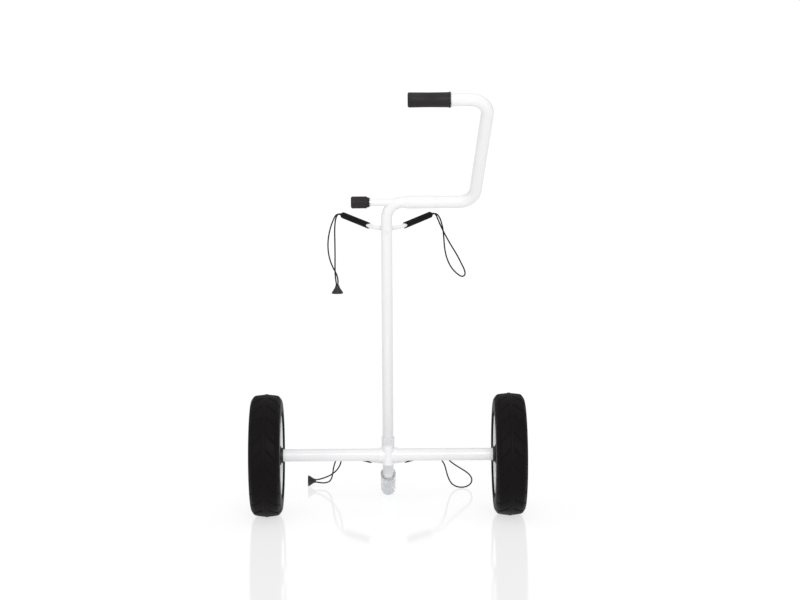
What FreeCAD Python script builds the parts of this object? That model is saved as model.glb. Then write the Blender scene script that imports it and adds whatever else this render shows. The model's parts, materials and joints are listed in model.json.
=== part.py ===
import FreeCAD, Part
import math
import os

import Sketcher
from FreeCAD import Placement, Rotation, Vector

# Two-wheeled golf push cart, empty.
# +X is to the right, +Y is forward, towards the bag side, and +Z is up.
# The origin is on the floor, in the middle of the cart without its cords.
# Every length is in millimetres and every angle in degrees.

SIZES = {
    # stance: how the cart stands on its wheels and its foot
    "axle_setback": 17.91,
    "wheel_radius": 140,
    "track": 553,
    "tube_ahead": 120,
    "lean": 13.5,
    "pivot_height": 717.5,
    # main tube and its foot
    "main_tube_radius": 12.5,
    "main_tube_wall": 2,
    "top_bend_radius": 37.5,
    "foot_corner_height": 78,
    "foot_bend_radius": 40,
    "foot_reach": 240,
    "foot_cap_radius": 17.75,
    "foot_land_sink": 1.25,
    "foot_cap_overlap": 101,
    # arm that holds the handle, and the guide of its draw rod
    "arm_step": 0.5,
    "arm_flare": 12,
    "arm_length": 111,
    "guide_radius": 8.2,
    "guide_reach": 36,
    "guide_bore_radius": 5,
    # axle and its carrier
    "axle_tube_radius": 14,
    "axle_tube_wall": 2.5,
    "axle_tube_length": 478,
    "carrier_ring_wall": 2.2,
    "carrier_ring_length": 44,
    "carrier_arm_width": 20,
    "carrier_arm_height": 22,
    "carrier_boss_height": 44,
    "carrier_collar_wall": 2.5,
    "carrier_boss_wrap": 2.5,
    "grub_screw_radius": 3,
    "grub_screw_length": 8,
    "end_cap_radius": 18,
    "end_cap_flange": 5,
    "end_cap_plug": 34,
    "stub_radius": 6,
    "stub_inside": 39,
    "stub_outside": 57.5,
    "stub_chamfer": 1,
    "groove_depth": 1.3,
    "groove_width": 3,
    "groove_from_tip": 7.5,
    # wheel
    "tyre_width": 71,
    "tread_rib_height": 3.5,
    "tread_rib_width": 6.6,
    "tyre_shoulder": 11,
    "rim_radius": 98,
    "rim_width": 62,
    "rim_wall": 5,
    "rim_lip": 3,
    "spoke_count": 6,
    "spoke_width": 22,
    "spoke_thickness": 11,
    "hub_radius": 22,
    "hub_length": 58,
    "hub_ring_wall": 6,
    "bearing_radius": 14,
    "bearing_width": 8,
    "bearing_gap": 25.5,
    "hub_bore_radius": 9,
    "latch_thickness": 2,
    "hub_cap_radius": 27,
    "hub_cap_flange": 4,
    "hub_cap_plug": 5.5,
    "hub_cap_bevel": 2.5,
    "button_radius": 11.5,
    "button_length": 9.5,
    "button_travel": 4,
    "button_round": 2,
    # handle
    "handle_radius": 14,
    "handle_wall": 2,
    "handle_bend_radius": 38,
    "lower_bend_x": 196,
    "upper_bend_x": 222.3,
    "grip_height": 946,
    "grip_setback": 207,
    "grip_radius": 16.4,
    "grip_inner_x": 46.5,
    "grip_outer_x": 139,
    "grip_end_wall": 4,
    "grip_flange_radius": 17.4,
    "grip_flange_width": 4,
    "grip_ring_radius": 15.6,
    "grip_ring_width": 2.4,
    "grip_ring_gap": 1.5,
    "grip_round": 3,
    "spigot_inside": 36,
    "spigot_outside": 22,
    "rod_radius": 4,
    "knob_radius": 13.6,
    "knob_length": 42,
    "knob_collar_radius": 11,
    "knob_collar_width": 4,
    "knob_end_wall": 4,
    "knob_bevel": 2,
    "rod_end_gap": 1,
    "insert_radius": 7,
    "washer_thickness": 1.7,
    "washer_radius": 9.5,
    # bag brackets
    "upper_bracket_height": 653,
    "lower_bracket_height": 97,
    "bracket_rod_radius": 4.75,
    "bracket_bow_radius": 50,
    "bracket_bow_angle": 54,
    "bracket_arm": 102,
    "sleeve_radius": 7.25,
    "sleeve_cap": 3,
    "sleeve_round": 2,
    "saddle_width": 20,
    "saddle_height": 15,
    "saddle_cover": 1.5,
    "saddle_wrap": 4,
    "bolt_radius": 2.5,
    "bolt_head_radius": 4.25,
    "bolt_head_height": 2.6,
    "bolt_sink": 0.8,
    "bolt_socket_radius": 2.1,
    "bolt_socket_depth": 1.6,
    "bolt_nut_radius": 4.4,
    "bolt_nut_height": 3.6,
    "anchor_radius": 4.2,
    "anchor_length": 6,
    "anchor_round": 1.5,
    # elastic cords and their toggles
    "cord_radius": 1.7,
    "toggle_radius": 13.5,
    "toggle_neck_radius": 4.5,
    "toggle_length": 20,
    "toggle_lip": 3,
    "toggle_bevel": 1,
    # clearances
    "running_gap": 0.04,
    "face_gap": 0.3,
    "side_gap": 0.6,
}

document = FreeCAD.newDocument("golf_push_cart")
sheet = document.addObject("Spreadsheet::Sheet", "Sizes")
for row, (alias, number) in enumerate(SIZES.items(), start=1):
    sheet.set(f"A{row}", alias)
    sheet.set(f"B{row}", str(number))
    sheet.setAlias(f"B{row}", alias)
document.recompute()


class Size:
    """A length or an angle, with the sheet formula that gives it."""

    def __init__(self, value, formula):
        self.value = float(value)
        self.formula = formula

    def joined(self, other, sign, value):
        return Size(value, f"({self.formula} {sign} {as_size(other).formula})")

    def __add__(self, other):
        return self.joined(other, "+", self.value + as_size(other).value)

    def __sub__(self, other):
        return self.joined(other, "-", self.value - as_size(other).value)

    def __mul__(self, other):
        return self.joined(other, "*", self.value * as_size(other).value)

    def __truediv__(self, other):
        return self.joined(other, "/", self.value / as_size(other).value)

    def __neg__(self):
        return Size(-self.value, f"(0 - {self.formula})")

    def __float__(self):
        return self.value


def as_size(number):
    return number if isinstance(number, Size) else Size(number, repr(float(number)))


def size(alias):
    return Size(sheet.get(alias), f"Sizes.{alias}")


def sizes(*aliases):
    return [size(alias) for alias in aliases]


def value(alias):
    return float(sheet.get(alias))


def bind(thing, **properties):
    for name, amount in properties.items():
        thing.setExpression(name, as_size(amount).formula)


# --- building blocks -------------------------------------------------------

nodes = {}
RIGHT, FORWARD, UP = Vector(1, 0, 0), Vector(0, 1, 0), Vector(0, 0, 1)


def facing(start, direction):
    """A placement whose own Z axis starts at a point and runs along a direction."""
    return Placement(start, Rotation(UP, direction))


def facing_x(start, direction):
    """A placement whose own X axis starts at a point and runs along a direction."""
    return Placement(start, Rotation(RIGHT, direction))


def keep(label, thing):
    """Makes a finished object the node of that name."""
    thing.Label = label
    nodes[label] = thing
    return thing


def cylinder(radius, height, start, direction):
    thing = document.addObject("Part::Cylinder", "cylinder")
    bind(thing, Radius=radius, Height=height)
    thing.Placement = facing(start, direction)
    return thing


def cone(first_radius, last_radius, height, start, direction):
    thing = document.addObject("Part::Cone", "cone")
    bind(thing, Radius1=first_radius, Radius2=last_radius, Height=height)
    thing.Placement = facing(start, direction)
    return thing


def sphere(radius, centre):
    thing = document.addObject("Part::Sphere", "sphere")
    bind(thing, Radius=radius)
    thing.Placement = Placement(centre, Rotation())
    return thing


def block(width, depth, height, centre, turn=Rotation()):
    """A box about its centre, turned."""
    thing = document.addObject("Part::Box", "block")
    bind(thing, Length=width, Width=depth, Height=height)
    half = Vector(float(width), float(depth), float(height)) / 2
    thing.Placement = Placement(centre - turn.multVec(half), turn)
    return thing


def shaped(name, shape):
    """A feature with a shape made by Part's own functions."""
    thing = document.addObject("Part::Feature", name)
    thing.Shape = shape
    return thing


def fused(*things):
    thing = document.addObject("Part::MultiFuse", "fused")
    thing.Shapes = list(things)
    return thing


def minus(base, *tools):
    """A base less each tool in turn."""
    for tool in tools:
        thing = document.addObject("Part::Cut", "cut")
        thing.Base, thing.Tool = base, tool
        base = thing
    return base


def new_sketch(body, role):
    plane = next(f for f in body.Origin.OriginFeatures if f.Role == role)
    sketch = body.newObject("Sketcher::SketchObject", "outline")
    sketch.AttachmentSupport = (plane, [""])
    sketch.MapMode = "FlatFace"
    return sketch


def pin_point(sketch, line, name, across, up):
    """Ties a line's start to the sheet, measured from the sketch's origin."""
    for kind, axis, amount in (("DistanceX", -2, across), ("DistanceY", -1, up)):
        amount = as_size(amount)
        if abs(amount.value) < 1e-9:
            sketch.addConstraint(Sketcher.Constraint("PointOnObject", line, 1, axis))
            continue
        index = sketch.addConstraint(Sketcher.Constraint(kind, -1, 1, line, 1, amount.value))
        sketch.renameConstraint(index, f"{name}_{kind[-1].lower()}")
        sketch.setExpression(f"Constraints.{name}_{kind[-1].lower()}", amount.formula)


def draw_outline(sketch, points):
    """A closed outline of straight lines whose corners follow the sheet."""
    corners = [Vector(float(a), float(b), 0) for a, b in points]
    for index, corner in enumerate(corners):
        following = corners[(index + 1) % len(corners)]
        sketch.addGeometry(Part.LineSegment(corner, following), False)
    for index, (across, up) in enumerate(points):
        following = (index + 1) % len(points)
        sketch.addConstraint(Sketcher.Constraint("Coincident", index, 2, following, 1))
        pin_point(sketch, index, f"p{index}", across, up)


def turned(label, points, place, rounds=()):
    """A body turned about its own X axis from an outline of (along, radius) corners.

    Each round is (along, radius, fillet): the edge at that corner gets that fillet.
    """
    body = document.addObject("PartDesign::Body", label)
    sketch = new_sketch(body, "XZ_Plane")
    draw_outline(sketch, points)
    turn = body.newObject("PartDesign::Revolution", "turn")
    turn.Profile = sketch
    turn.ReferenceAxis = (sketch, ["H_Axis"])
    turn.Angle = 360
    document.recompute()
    for along, radius, fillet in rounds:
        base = body.Tip
        edge = circle_edge(base, float(along), float(radius))
        rounding = body.newObject("PartDesign::Fillet", "round")
        rounding.Base = (base, [edge])
        bind(rounding, Radius=fillet)
        document.recompute()
    body.Placement = place
    return body


def circle_edge(feature, along, radius):
    """The name of the circular edge about X with that place and radius."""
    for index, edge in enumerate(feature.Shape.Edges, start=1):
        curve = edge.Curve
        if not hasattr(curve, "Radius") or abs(curve.Radius - radius) > 1e-4:
            continue
        if abs(curve.Center.x - along) < 1e-4 and abs(abs(curve.Axis.x) - 1) < 1e-6:
            return f"Edge{index}"
    raise RuntimeError(f"no round edge at {along}, radius {radius}")


def ring_outline(first, last, inner, outer):
    return [(first, inner), (last, inner), (last, outer), (first, outer)]


def smooth_path(points, radii):
    """Straight runs between points, joined by tangent arcs of the given radii."""
    edges, start = [], points[0]
    for before, corner, after, radius in zip(points, points[1:], points[2:], radii):
        inward = (before - corner).normalize()
        outward = (after - corner).normalize()
        half_turn = (math.pi - inward.getAngle(outward)) / 2
        reach = radius * math.tan(half_turn)
        middle = (inward + outward).normalize()
        depth = radius / math.cos(half_turn) - radius
        first, last = corner + inward * reach, corner + outward * reach
        if first.distanceToPoint(start) > 1e-6:
            edges.append(Part.LineSegment(start, first).toShape())
        edges.append(Part.Arc(first, corner + middle * depth, last).toShape())
        start = last
    edges.append(Part.LineSegment(start, points[-1]).toShape())
    return Part.Wire(edges)


def swept(path, radius):
    """A round bar along a path."""
    edge = path.Edges[0]
    start = edge.valueAt(edge.FirstParameter)
    circle = Part.Circle(start, edge.tangentAt(edge.FirstParameter), radius)
    return path.makePipeShell([Part.Wire([circle.toShape()])], True, False)


# --- places that more than one piece uses ----------------------------------

ORIGIN_TO_AXLE = -value("axle_setback")
WHEEL_RADIUS = value("wheel_radius")
AXLE = Vector(0, ORIGIN_TO_AXLE, WHEEL_RADIUS)
LEAN = math.radians(value("lean"))
TUBE_UP = Vector(0, -math.sin(LEAN), math.cos(LEAN))
TUBE_FRONT = Vector(0, math.cos(LEAN), math.sin(LEAN))
TILT = Rotation(RIGHT, value("lean"))


def on_tube(height):
    """The point of the main tube's axis at a height."""
    rise = height - WHEEL_RADIUS
    return AXLE + Vector(0, value("tube_ahead") - rise * math.tan(LEAN), rise)


PIVOT = on_tube(value("pivot_height"))
FOOT_CENTRE = Vector(
    0, ORIGIN_TO_AXLE + value("foot_reach"), value("foot_cap_radius") - value("foot_land_sink")
)
FOOT_CORNER = on_tube(value("foot_corner_height"))
FOOT_LINE = (FOOT_CENTRE - FOOT_CORNER).normalize()
GAP = size("face_gap")


# --- frame -----------------------------------------------------------------

def build_main_tube():
    """One bent tube from the foot, up to the top bend and along the handle arm."""
    radius, wall, flare = sizes("main_tube_radius", "main_tube_wall", "arm_flare")
    arm_radius, arm_length = size("handle_radius") + size("arm_step"), size("arm_length")
    bends = [value("foot_bend_radius"), value("top_bend_radius")]
    flare_start = PIVOT + RIGHT * value("top_bend_radius")
    path = smooth_path([FOOT_CENTRE, FOOT_CORNER, PIVOT, flare_start + RIGHT], bends)
    outside = shaped("tube_outside", swept(path, radius.value))
    inside = shaped("tube_inside", swept(path, radius.value - wall.value))
    arm_start = flare_start + RIGHT * flare.value
    arm_run = arm_length - size("top_bend_radius") - flare
    skin = fused(
        outside,
        cone(radius, arm_radius, flare, flare_start, RIGHT),
        cylinder(arm_radius, arm_run, arm_start, RIGHT),
    )
    hollow = fused(
        inside,
        cone(radius - wall, arm_radius - wall, flare, flare_start, RIGHT),
        cylinder(arm_radius - wall, arm_run + 1, arm_start, RIGHT),
    )
    reach = size("guide_reach")
    rod_hole = cylinder(size("guide_bore_radius"), reach * 2, PIVOT - RIGHT * reach.value, RIGHT)
    cuts = [rod_hole] + bolt_cuts("upper_bracket_height") + bolt_cuts("lower_bracket_height")
    keep("main_tube", minus(skin, hollow, *cuts))
    return outside


def bolt_cuts(height_name):
    """The bolt's hole through the main tube, and the flat that its head sits on."""
    radius, head, sink = sizes("main_tube_radius", "bolt_head_radius", "bolt_sink")
    middle = on_tube(value(height_name))
    hole = cylinder(size("bolt_radius"), radius * 4, middle - TUBE_FRONT * (radius.value * 2),
                    TUBE_FRONT)
    flat_start = middle - TUBE_FRONT * (radius.value - sink.value)
    return [hole, cylinder(head, radius, flat_start, -TUBE_FRONT)]


def build_foot_cap(tube_outside):
    """Clear round-nosed cap over the tube's end, with a small flat where it rests."""
    radius, overlap = sizes("foot_cap_radius", "foot_cap_overlap")
    start = FOOT_CENTRE - FOOT_LINE * overlap.value
    body = fused(cylinder(radius, overlap, start, FOOT_LINE), sphere(radius, FOOT_CENTRE))
    floor = block(100, 100, 50, Vector(0, FOOT_CENTRE.y, -25))
    keep("foot_cap", minus(body, shaped("tube_room", tube_outside.Shape.copy()), floor))


def build_rod_guide(tube_outside):
    """Thin tube on the far side of the top bend that guides the draw rod."""
    radius, reach, bore = sizes("guide_radius", "guide_reach", "guide_bore_radius")
    start = PIVOT - RIGHT * reach.value
    length = reach + size("top_bend_radius") / 2
    tube = cylinder(radius, length, start, RIGHT)
    room = shaped("bend_room", tube_outside.Shape.copy())
    keep("rod_guide", minus(tube, cylinder(bore, length, start, RIGHT), room))


def build_axle():
    """Cross tube, its flanged end caps, and the stub axles that carry the wheels."""
    radius, wall, length = sizes("axle_tube_radius", "axle_tube_wall", "axle_tube_length")
    start = AXLE - RIGHT * (length.value / 2)
    tube = cylinder(radius, length, start, RIGHT)
    keep("axle_tube", minus(tube, cylinder(radius - wall, length, start, RIGHT)))
    plug, flange, cap_radius = sizes("end_cap_plug", "end_cap_flange", "end_cap_radius")
    stub, inside, outside = sizes("stub_radius", "stub_inside", "stub_outside")
    depth, width, from_tip = sizes("groove_depth", "groove_width", "groove_from_tip")
    chamfer = size("stub_chamfer")
    cap_outline = [
        (-plug, stub), (flange, stub), (flange, cap_radius), (0, cap_radius),
        (0, radius - wall), (-plug, radius - wall),
    ]
    groove_end = outside - from_tip
    stub_outline = [
        (-inside, 0), (outside, 0), (outside, stub - chamfer), (outside - chamfer, stub),
        (groove_end, stub), (groove_end, stub - depth),
        (groove_end - width, stub - depth), (groove_end - width, stub), (-inside, stub),
    ]
    for side, way in (("left", -RIGHT), ("right", RIGHT)):
        place = facing_x(AXLE + way * (length.value / 2), way)
        keep(f"axle_end_cap_{side}", turned(f"axle_end_cap_{side}", cap_outline, place))
        keep(f"stub_axle_{side}", turned(f"stub_axle_{side}", stub_outline, place))


def build_carrier(tube_outside):
    """Welded carrier: a collar on the main tube, an arm back, and a ring for the axle."""
    ring_wall, ring_length = sizes("carrier_ring_wall", "carrier_ring_length")
    axle_radius, tube_radius = sizes("axle_tube_radius", "main_tube_radius")
    width, height, boss = sizes("carrier_arm_width", "carrier_arm_height", "carrier_boss_height")
    collar_wall, ahead = sizes("carrier_collar_wall", "tube_ahead")
    ring_start = AXLE - RIGHT * (ring_length.value / 2)
    ring = cylinder(axle_radius + ring_wall, ring_length, ring_start, RIGHT)
    arm = block(width, ahead, height, AXLE + FORWARD * (ahead.value / 2))
    wrap = value("carrier_boss_wrap")
    boss_back = axle_radius.value + ring_wall.value + wrap - tube_radius.value
    boss_start = AXLE - FORWARD * boss_back - UP * (boss.value / 2)
    column = cylinder(tube_radius, boss, boss_start, UP)
    collar_start = on_tube(WHEEL_RADIUS) - TUBE_UP * (boss.value / 2)
    collar = cylinder(tube_radius + collar_wall, boss, collar_start, TUBE_UP)
    axle_room = cylinder(axle_radius, ring_length * 2, AXLE - RIGHT * ring_length.value, RIGHT)
    screw, screw_length = sizes("grub_screw_radius", "grub_screw_length")
    screw_hole = cylinder(screw, boss, AXLE - UP * boss.value, UP)
    tube_room = shaped("carrier_room", tube_outside.Shape.copy())
    body = minus(fused(ring, arm, column, collar), axle_room, tube_room, screw_hole)
    keep("axle_carrier", body)
    screw_start = AXLE - UP * (axle_radius.value + screw_length.value)
    keep("carrier_grub_screw", cylinder(screw, screw_length, screw_start, UP))


# --- bag brackets ----------------------------------------------------------

def bracket_frame(height, turn):
    """The tube-side point and the forward direction of a bracket."""
    forward = turn.multVec(FORWARD)
    touch = (value("main_tube_radius") / forward.dot(TUBE_FRONT)
             + value("bracket_rod_radius") + GAP.value)
    return on_tube(height) + forward * touch, forward


def bracket_path(back, forward):
    """A bow across the tube's front, then an arm out to each side."""
    bow, arm = value("bracket_bow_radius"), value("bracket_arm")
    angle = math.radians(value("bracket_bow_angle"))
    side = bow * math.sin(angle)
    rise = bow * (1 - math.cos(angle))
    points = {}
    for name, way in (("left", -1), ("right", 1)):
        knee = back + RIGHT * (way * side) + forward * rise
        line = RIGHT * (way * math.cos(angle)) + forward * math.sin(angle)
        points[name] = (knee, line, knee + line * arm)
    wire = Part.Wire([
        Part.LineSegment(points["left"][2], points["left"][0]).toShape(),
        Part.Arc(points["left"][0], back, points["right"][0]).toShape(),
        Part.LineSegment(points["right"][0], points["right"][2]).toShape(),
    ])
    return wire, points


def build_bracket(level, height, turn, tube_outside):
    """A bent rod, and the saddle and bolt that hold it on the main tube."""
    back, forward = bracket_frame(height, turn)
    path, arms = bracket_path(back, forward)
    middle = on_tube(height)
    rod_radius, tube_radius = value("bracket_rod_radius"), value("main_tube_radius")
    cover, bolt_sink = value("saddle_cover"), value("bolt_sink")
    bolt, head, head_height = sizes("bolt_radius", "bolt_head_radius", "bolt_head_height")
    nut, nut_height = sizes("bolt_nut_radius", "bolt_nut_height")
    face = (back - middle).dot(TUBE_FRONT) + rod_radius + cover
    bolt_start = middle - TUBE_FRONT * tube_radius
    shank = face + tube_radius + nut_height.value

    def bolt_room():
        return cylinder(bolt, shank * 2, middle - TUBE_FRONT * shank, TUBE_FRONT)

    rod = shaped(f"{level}_rod", swept(path, rod_radius))
    keep(f"{level}_bracket_rod", minus(rod, bolt_room()))
    saddle_back = tube_radius - value("saddle_wrap")
    saddle = block(
        size("saddle_width"), face - saddle_back, size("saddle_height"),
        middle + TUBE_FRONT * ((face + saddle_back) / 2), TILT,
    )
    rod_room = shaped("rod_room", swept(path, rod_radius))
    tube_room = shaped("saddle_room", tube_outside.Shape.copy())
    keep(f"{level}_bracket_saddle", minus(saddle, rod_room, tube_room, bolt_room()))
    head_start = bolt_start + TUBE_FRONT * bolt_sink
    head_face = head_start - TUBE_FRONT * (head_height.value + bolt_sink)
    bolt_body = fused(
        cylinder(bolt, shank, bolt_start, TUBE_FRONT),
        cylinder(head, head_height + bolt_sink, head_start, -TUBE_FRONT),
        cylinder(nut, nut_height, middle + TUBE_FRONT * face, TUBE_FRONT),
    )
    socket = cylinder(size("bolt_socket_radius"), size("bolt_socket_depth"), head_face, TUBE_FRONT)
    keep(f"{level}_bracket_bolt", minus(bolt_body, socket))
    return arms


def build_sleeves(level, arms):
    """A foam sleeve with a closed end on each arm, and the eye that holds the cord."""
    rod, sleeve, cap, arm = sizes("bracket_rod_radius", "sleeve_radius", "sleeve_cap", "bracket_arm")
    anchor, anchor_length = sizes("anchor_radius", "anchor_length")
    rounding, eye_rounding = sizes("sleeve_round", "anchor_round")
    outline = [
        (0, rod), (arm, rod), (arm, 0), (arm + cap, 0), (arm + cap, sleeve), (0, sleeve),
    ]
    for side, (knee, line, tip) in arms.items():
        label = f"{level}_sleeve_{side}"
        keep(label, turned(label, outline, facing_x(knee, line), [(arm + cap, sleeve, rounding)]))
        eye = f"{level}_cord_eye_{side}"
        start = tip + line * cap.value
        eye_outline = [(0, 0), (anchor_length, 0), (anchor_length, anchor), (0, anchor)]
        rounds = [(anchor_length, anchor, eye_rounding)]
        keep(eye, turned(eye, eye_outline, facing_x(start, line), rounds))


# --- wheels ----------------------------------------------------------------

def build_wheel(side, way):
    """Tyre, spoked rim, hub with two bearings, latch plate, cap and release button."""
    middle = AXLE + way * (value("track") / 2)
    at_middle = facing_x(middle, way)
    tread = size("wheel_radius") - size("tread_rib_height")
    half, rib = size("tyre_width") / 2, size("tread_rib_width") / 2
    rim, shoulder = sizes("rim_radius", "tyre_shoulder")
    tyre_outline = [
        (-half, rim), (half, rim), (half, tread), (rib, tread), (rib, size("wheel_radius")),
        (-rib, size("wheel_radius")), (-rib, tread), (-half, tread),
    ]
    rounds = [(half, tread, shoulder), (-half, tread, shoulder)]
    keep(f"tyre_{side}", turned(f"tyre_{side}", tyre_outline, at_middle, rounds))
    keep(f"rim_{side}", build_rim(side, at_middle))
    hub_start = size("axle_tube_length") / 2 + size("end_cap_flange") + size("side_gap")
    build_hub(side, facing_x(AXLE + way * hub_start.value, way))


def build_rim(side, place):
    """White barrel, a ring on the hub and tapered spokes between them."""
    rim, wall, width, lip = sizes("rim_radius", "rim_wall", "rim_width", "rim_lip")
    hub, spoke, thickness = sizes("hub_radius", "spoke_width", "spoke_thickness")
    half, inner = width / 2, rim - wall
    body = turned(f"rim_{side}", [
        (-half, inner - lip), (-half, rim), (half, rim), (half, inner - lip),
        (half - lip, inner - lip), (half - lip * 2, inner), (-half + lip * 2, inner),
        (-half + lip, inner - lip),
    ], place)
    ring_sketch = new_sketch(body, "XZ_Plane")
    draw_outline(ring_sketch, ring_outline(-half + lip * 2, half - lip * 2, hub, hub + size("hub_ring_wall")))
    ring = body.newObject("PartDesign::Revolution", "hub_ring")
    ring.Profile = ring_sketch
    ring.ReferenceAxis = (ring_sketch, ["H_Axis"])
    document.recompute()
    spoke_sketch = new_sketch(body, "YZ_Plane")
    low, high = hub + size("hub_ring_wall") / 2, inner + wall / 2
    draw_outline(spoke_sketch, [
        (-spoke / 2, low), (spoke / 2, low), (spoke / 3, high), (-spoke / 3, high),
    ])
    pad = body.newObject("PartDesign::Pad", "spoke")
    pad.Profile = spoke_sketch
    bind(pad, Length=thickness)
    pad.Midplane = True
    document.recompute()
    pattern = body.newObject("PartDesign::PolarPattern", "spokes")
    pattern.Originals = [pad]
    axis = next(f for f in body.Origin.OriginFeatures if f.Role == "X_Axis")
    pattern.Axis = (axis, [""])
    pattern.Angle = 360
    pattern.Occurrences = int(value("spoke_count"))
    body.Tip = pattern
    document.recompute()
    return body


def build_hub(side, place):
    """The parts that turn on the stub axle, measured outwards from the hub's inner face."""
    hub, length, seat, bore = sizes("hub_radius", "hub_length", "bearing_radius", "hub_bore_radius")
    width, gap, stub = sizes("bearing_width", "bearing_gap", "stub_radius")
    outer_seat = width + gap
    keep(f"hub_{side}", turned(f"hub_{side}", [
        (0, seat), (width, seat), (width, bore), (outer_seat, bore), (outer_seat, seat),
        (length, seat), (length, hub), (0, hub),
    ], place))
    bearing_bore = stub + size("running_gap")
    races = [
        turned("race", ring_outline(first, first + width, bearing_bore, seat), place)
        for first in (as_size(0), outer_seat)
    ]
    document.recompute()
    keep(f"bearings_{side}", fused(*races))
    latch = size("latch_thickness")
    groove_centre = (
        size("stub_outside") - size("groove_from_tip") - size("groove_width") / 2
        - size("end_cap_flange") - size("side_gap")
    )
    slot = stub - size("groove_depth") + size("face_gap")
    disc_start = place.multVec(Vector(groove_centre.value - latch.value / 2, 0, 0))
    outwards = place.Rotation.multVec(RIGHT)
    disc = cylinder(seat, latch, disc_start, outwards)
    hole = cylinder(slot, latch, disc_start, outwards)
    mouth = block(latch, slot * 2, seat * 1.1,
                  disc_start + outwards * (latch.value / 2) - UP * (seat.value * 0.55))
    keep(f"latch_plate_{side}", minus(disc, hole, mouth))
    cap, flange, plug = sizes("hub_cap_radius", "hub_cap_flange", "hub_cap_plug")
    bevel = size("hub_cap_bevel")
    button, button_length = sizes("button_radius", "button_length")
    room = button + GAP
    keep(f"hub_cap_{side}", turned(f"hub_cap_{side}", [
        (length - plug, room), (length + flange, room), (length + flange, cap - bevel),
        (length + flange - bevel, cap), (length, cap), (length, seat), (length - plug, seat),
    ], place))
    button_start = (
        size("stub_outside") - size("end_cap_flange") - size("side_gap")
        + size("button_travel") + size("face_gap")
    )
    keep(f"release_button_{side}", turned(f"release_button_{side}", [
        (button_start, 0), (button_start + button_length, 0),
        (button_start + button_length, button), (button_start, button),
    ], place, [(button_start + button_length, button, size("button_round"))]))


# --- handle ----------------------------------------------------------------

def build_handle():
    """Bent tube with its spigot and draw rod, grip, and the knob that clamps it."""
    radius, wall = sizes("handle_radius", "handle_wall")
    bore = radius + size("arm_step") - size("main_tube_wall")
    seam = PIVOT + RIGHT * (value("arm_length") + GAP.value)
    low = PIVOT + RIGHT * value("lower_bend_x")
    back = ORIGIN_TO_AXLE - value("grip_setback")
    high = Vector(value("upper_bend_x"), back, value("grip_height"))
    end_wall = value("grip_end_wall")
    end = Vector(value("grip_inner_x") + end_wall, back, value("grip_height"))
    bends = [value("handle_bend_radius")] * 2
    path = smooth_path([seam, low, high, end], bends)
    outside = shaped("handle_outside", swept(path, radius.value))
    inside = shaped("handle_inside", swept(path, radius.value - wall.value))
    keep("handle_tube", minus(outside, inside))
    inside_run, outside_run, rod = sizes("spigot_inside", "spigot_outside", "rod_radius")
    keep("handle_spigot", turned("handle_spigot", [
        (-inside_run, rod), (outside_run, rod), (outside_run, radius - wall), (0, radius - wall),
        (0, bore - size("running_gap")), (-inside_run, bore - size("running_gap")),
    ], facing_x(seam, RIGHT)))
    guide_end = size("guide_reach") + size("washer_thickness")
    knob_start = guide_end + GAP
    rod_start = knob_start + size("knob_length") - size("knob_end_wall") - size("rod_end_gap")
    rod_length = rod_start + size("arm_length") + outside_run
    keep("draw_rod", cylinder(rod, rod_length, PIVOT - RIGHT * rod_start.value, RIGHT))
    build_grip(end)
    build_knob(knob_start)
    washer = ring_outline(size("guide_reach"), guide_end, rod + size("running_gap"),
                          size("washer_radius"))
    keep("knob_washer", turned("knob_washer", washer, facing_x(PIVOT, -RIGHT)))


def build_grip(tube_end):
    """Closed rubber grip with a flange, and the white ring beside it."""
    tube, grip, flange = sizes("handle_radius", "grip_radius", "grip_flange_radius")
    inner, outer, flange_width = sizes("grip_inner_x", "grip_outer_x", "grip_flange_width")
    end_wall, ring, ring_width = sizes("grip_end_wall", "grip_ring_radius", "grip_ring_width")
    length = outer - inner - end_wall
    place = facing_x(tube_end, RIGHT)
    keep("grip", turned("grip", [
        (-end_wall, 0), (0, 0), (0, tube), (length, tube), (length, flange),
        (length - flange_width, flange), (length - flange_width, grip), (-end_wall, grip),
    ], place, [(-end_wall, grip, size("grip_round"))]))
    ring_start = length + size("grip_ring_gap")
    outline = ring_outline(ring_start, ring_start + ring_width, tube, ring)
    keep("grip_ring", turned("grip_ring", outline, place))


def build_knob(start):
    """Black clamp knob with a collar, a closed end and a threaded brass insert."""
    radius, length, collar = sizes("knob_radius", "knob_length", "knob_collar_radius")
    collar_width, wall, insert = sizes("knob_collar_width", "knob_end_wall", "insert_radius")
    bevel = size("knob_bevel")
    place = facing_x(PIVOT - RIGHT * start.value, -RIGHT)
    keep("clamp_knob", turned("clamp_knob", [
        (0, insert), (length - wall, insert), (length - wall, 0), (length, 0),
        (length, radius - bevel), (length - bevel, radius), (collar_width + bevel, radius),
        (collar_width, radius - bevel), (collar_width, collar), (0, collar),
    ], place))
    bore = size("rod_radius") + size("running_gap")
    outline = ring_outline(0, length - wall, bore, insert)
    keep("knob_insert", turned("knob_insert", outline, place))


# --- cords -----------------------------------------------------------------
# Each route is a list of points chosen by hand, from the cord's eye outwards.

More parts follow.
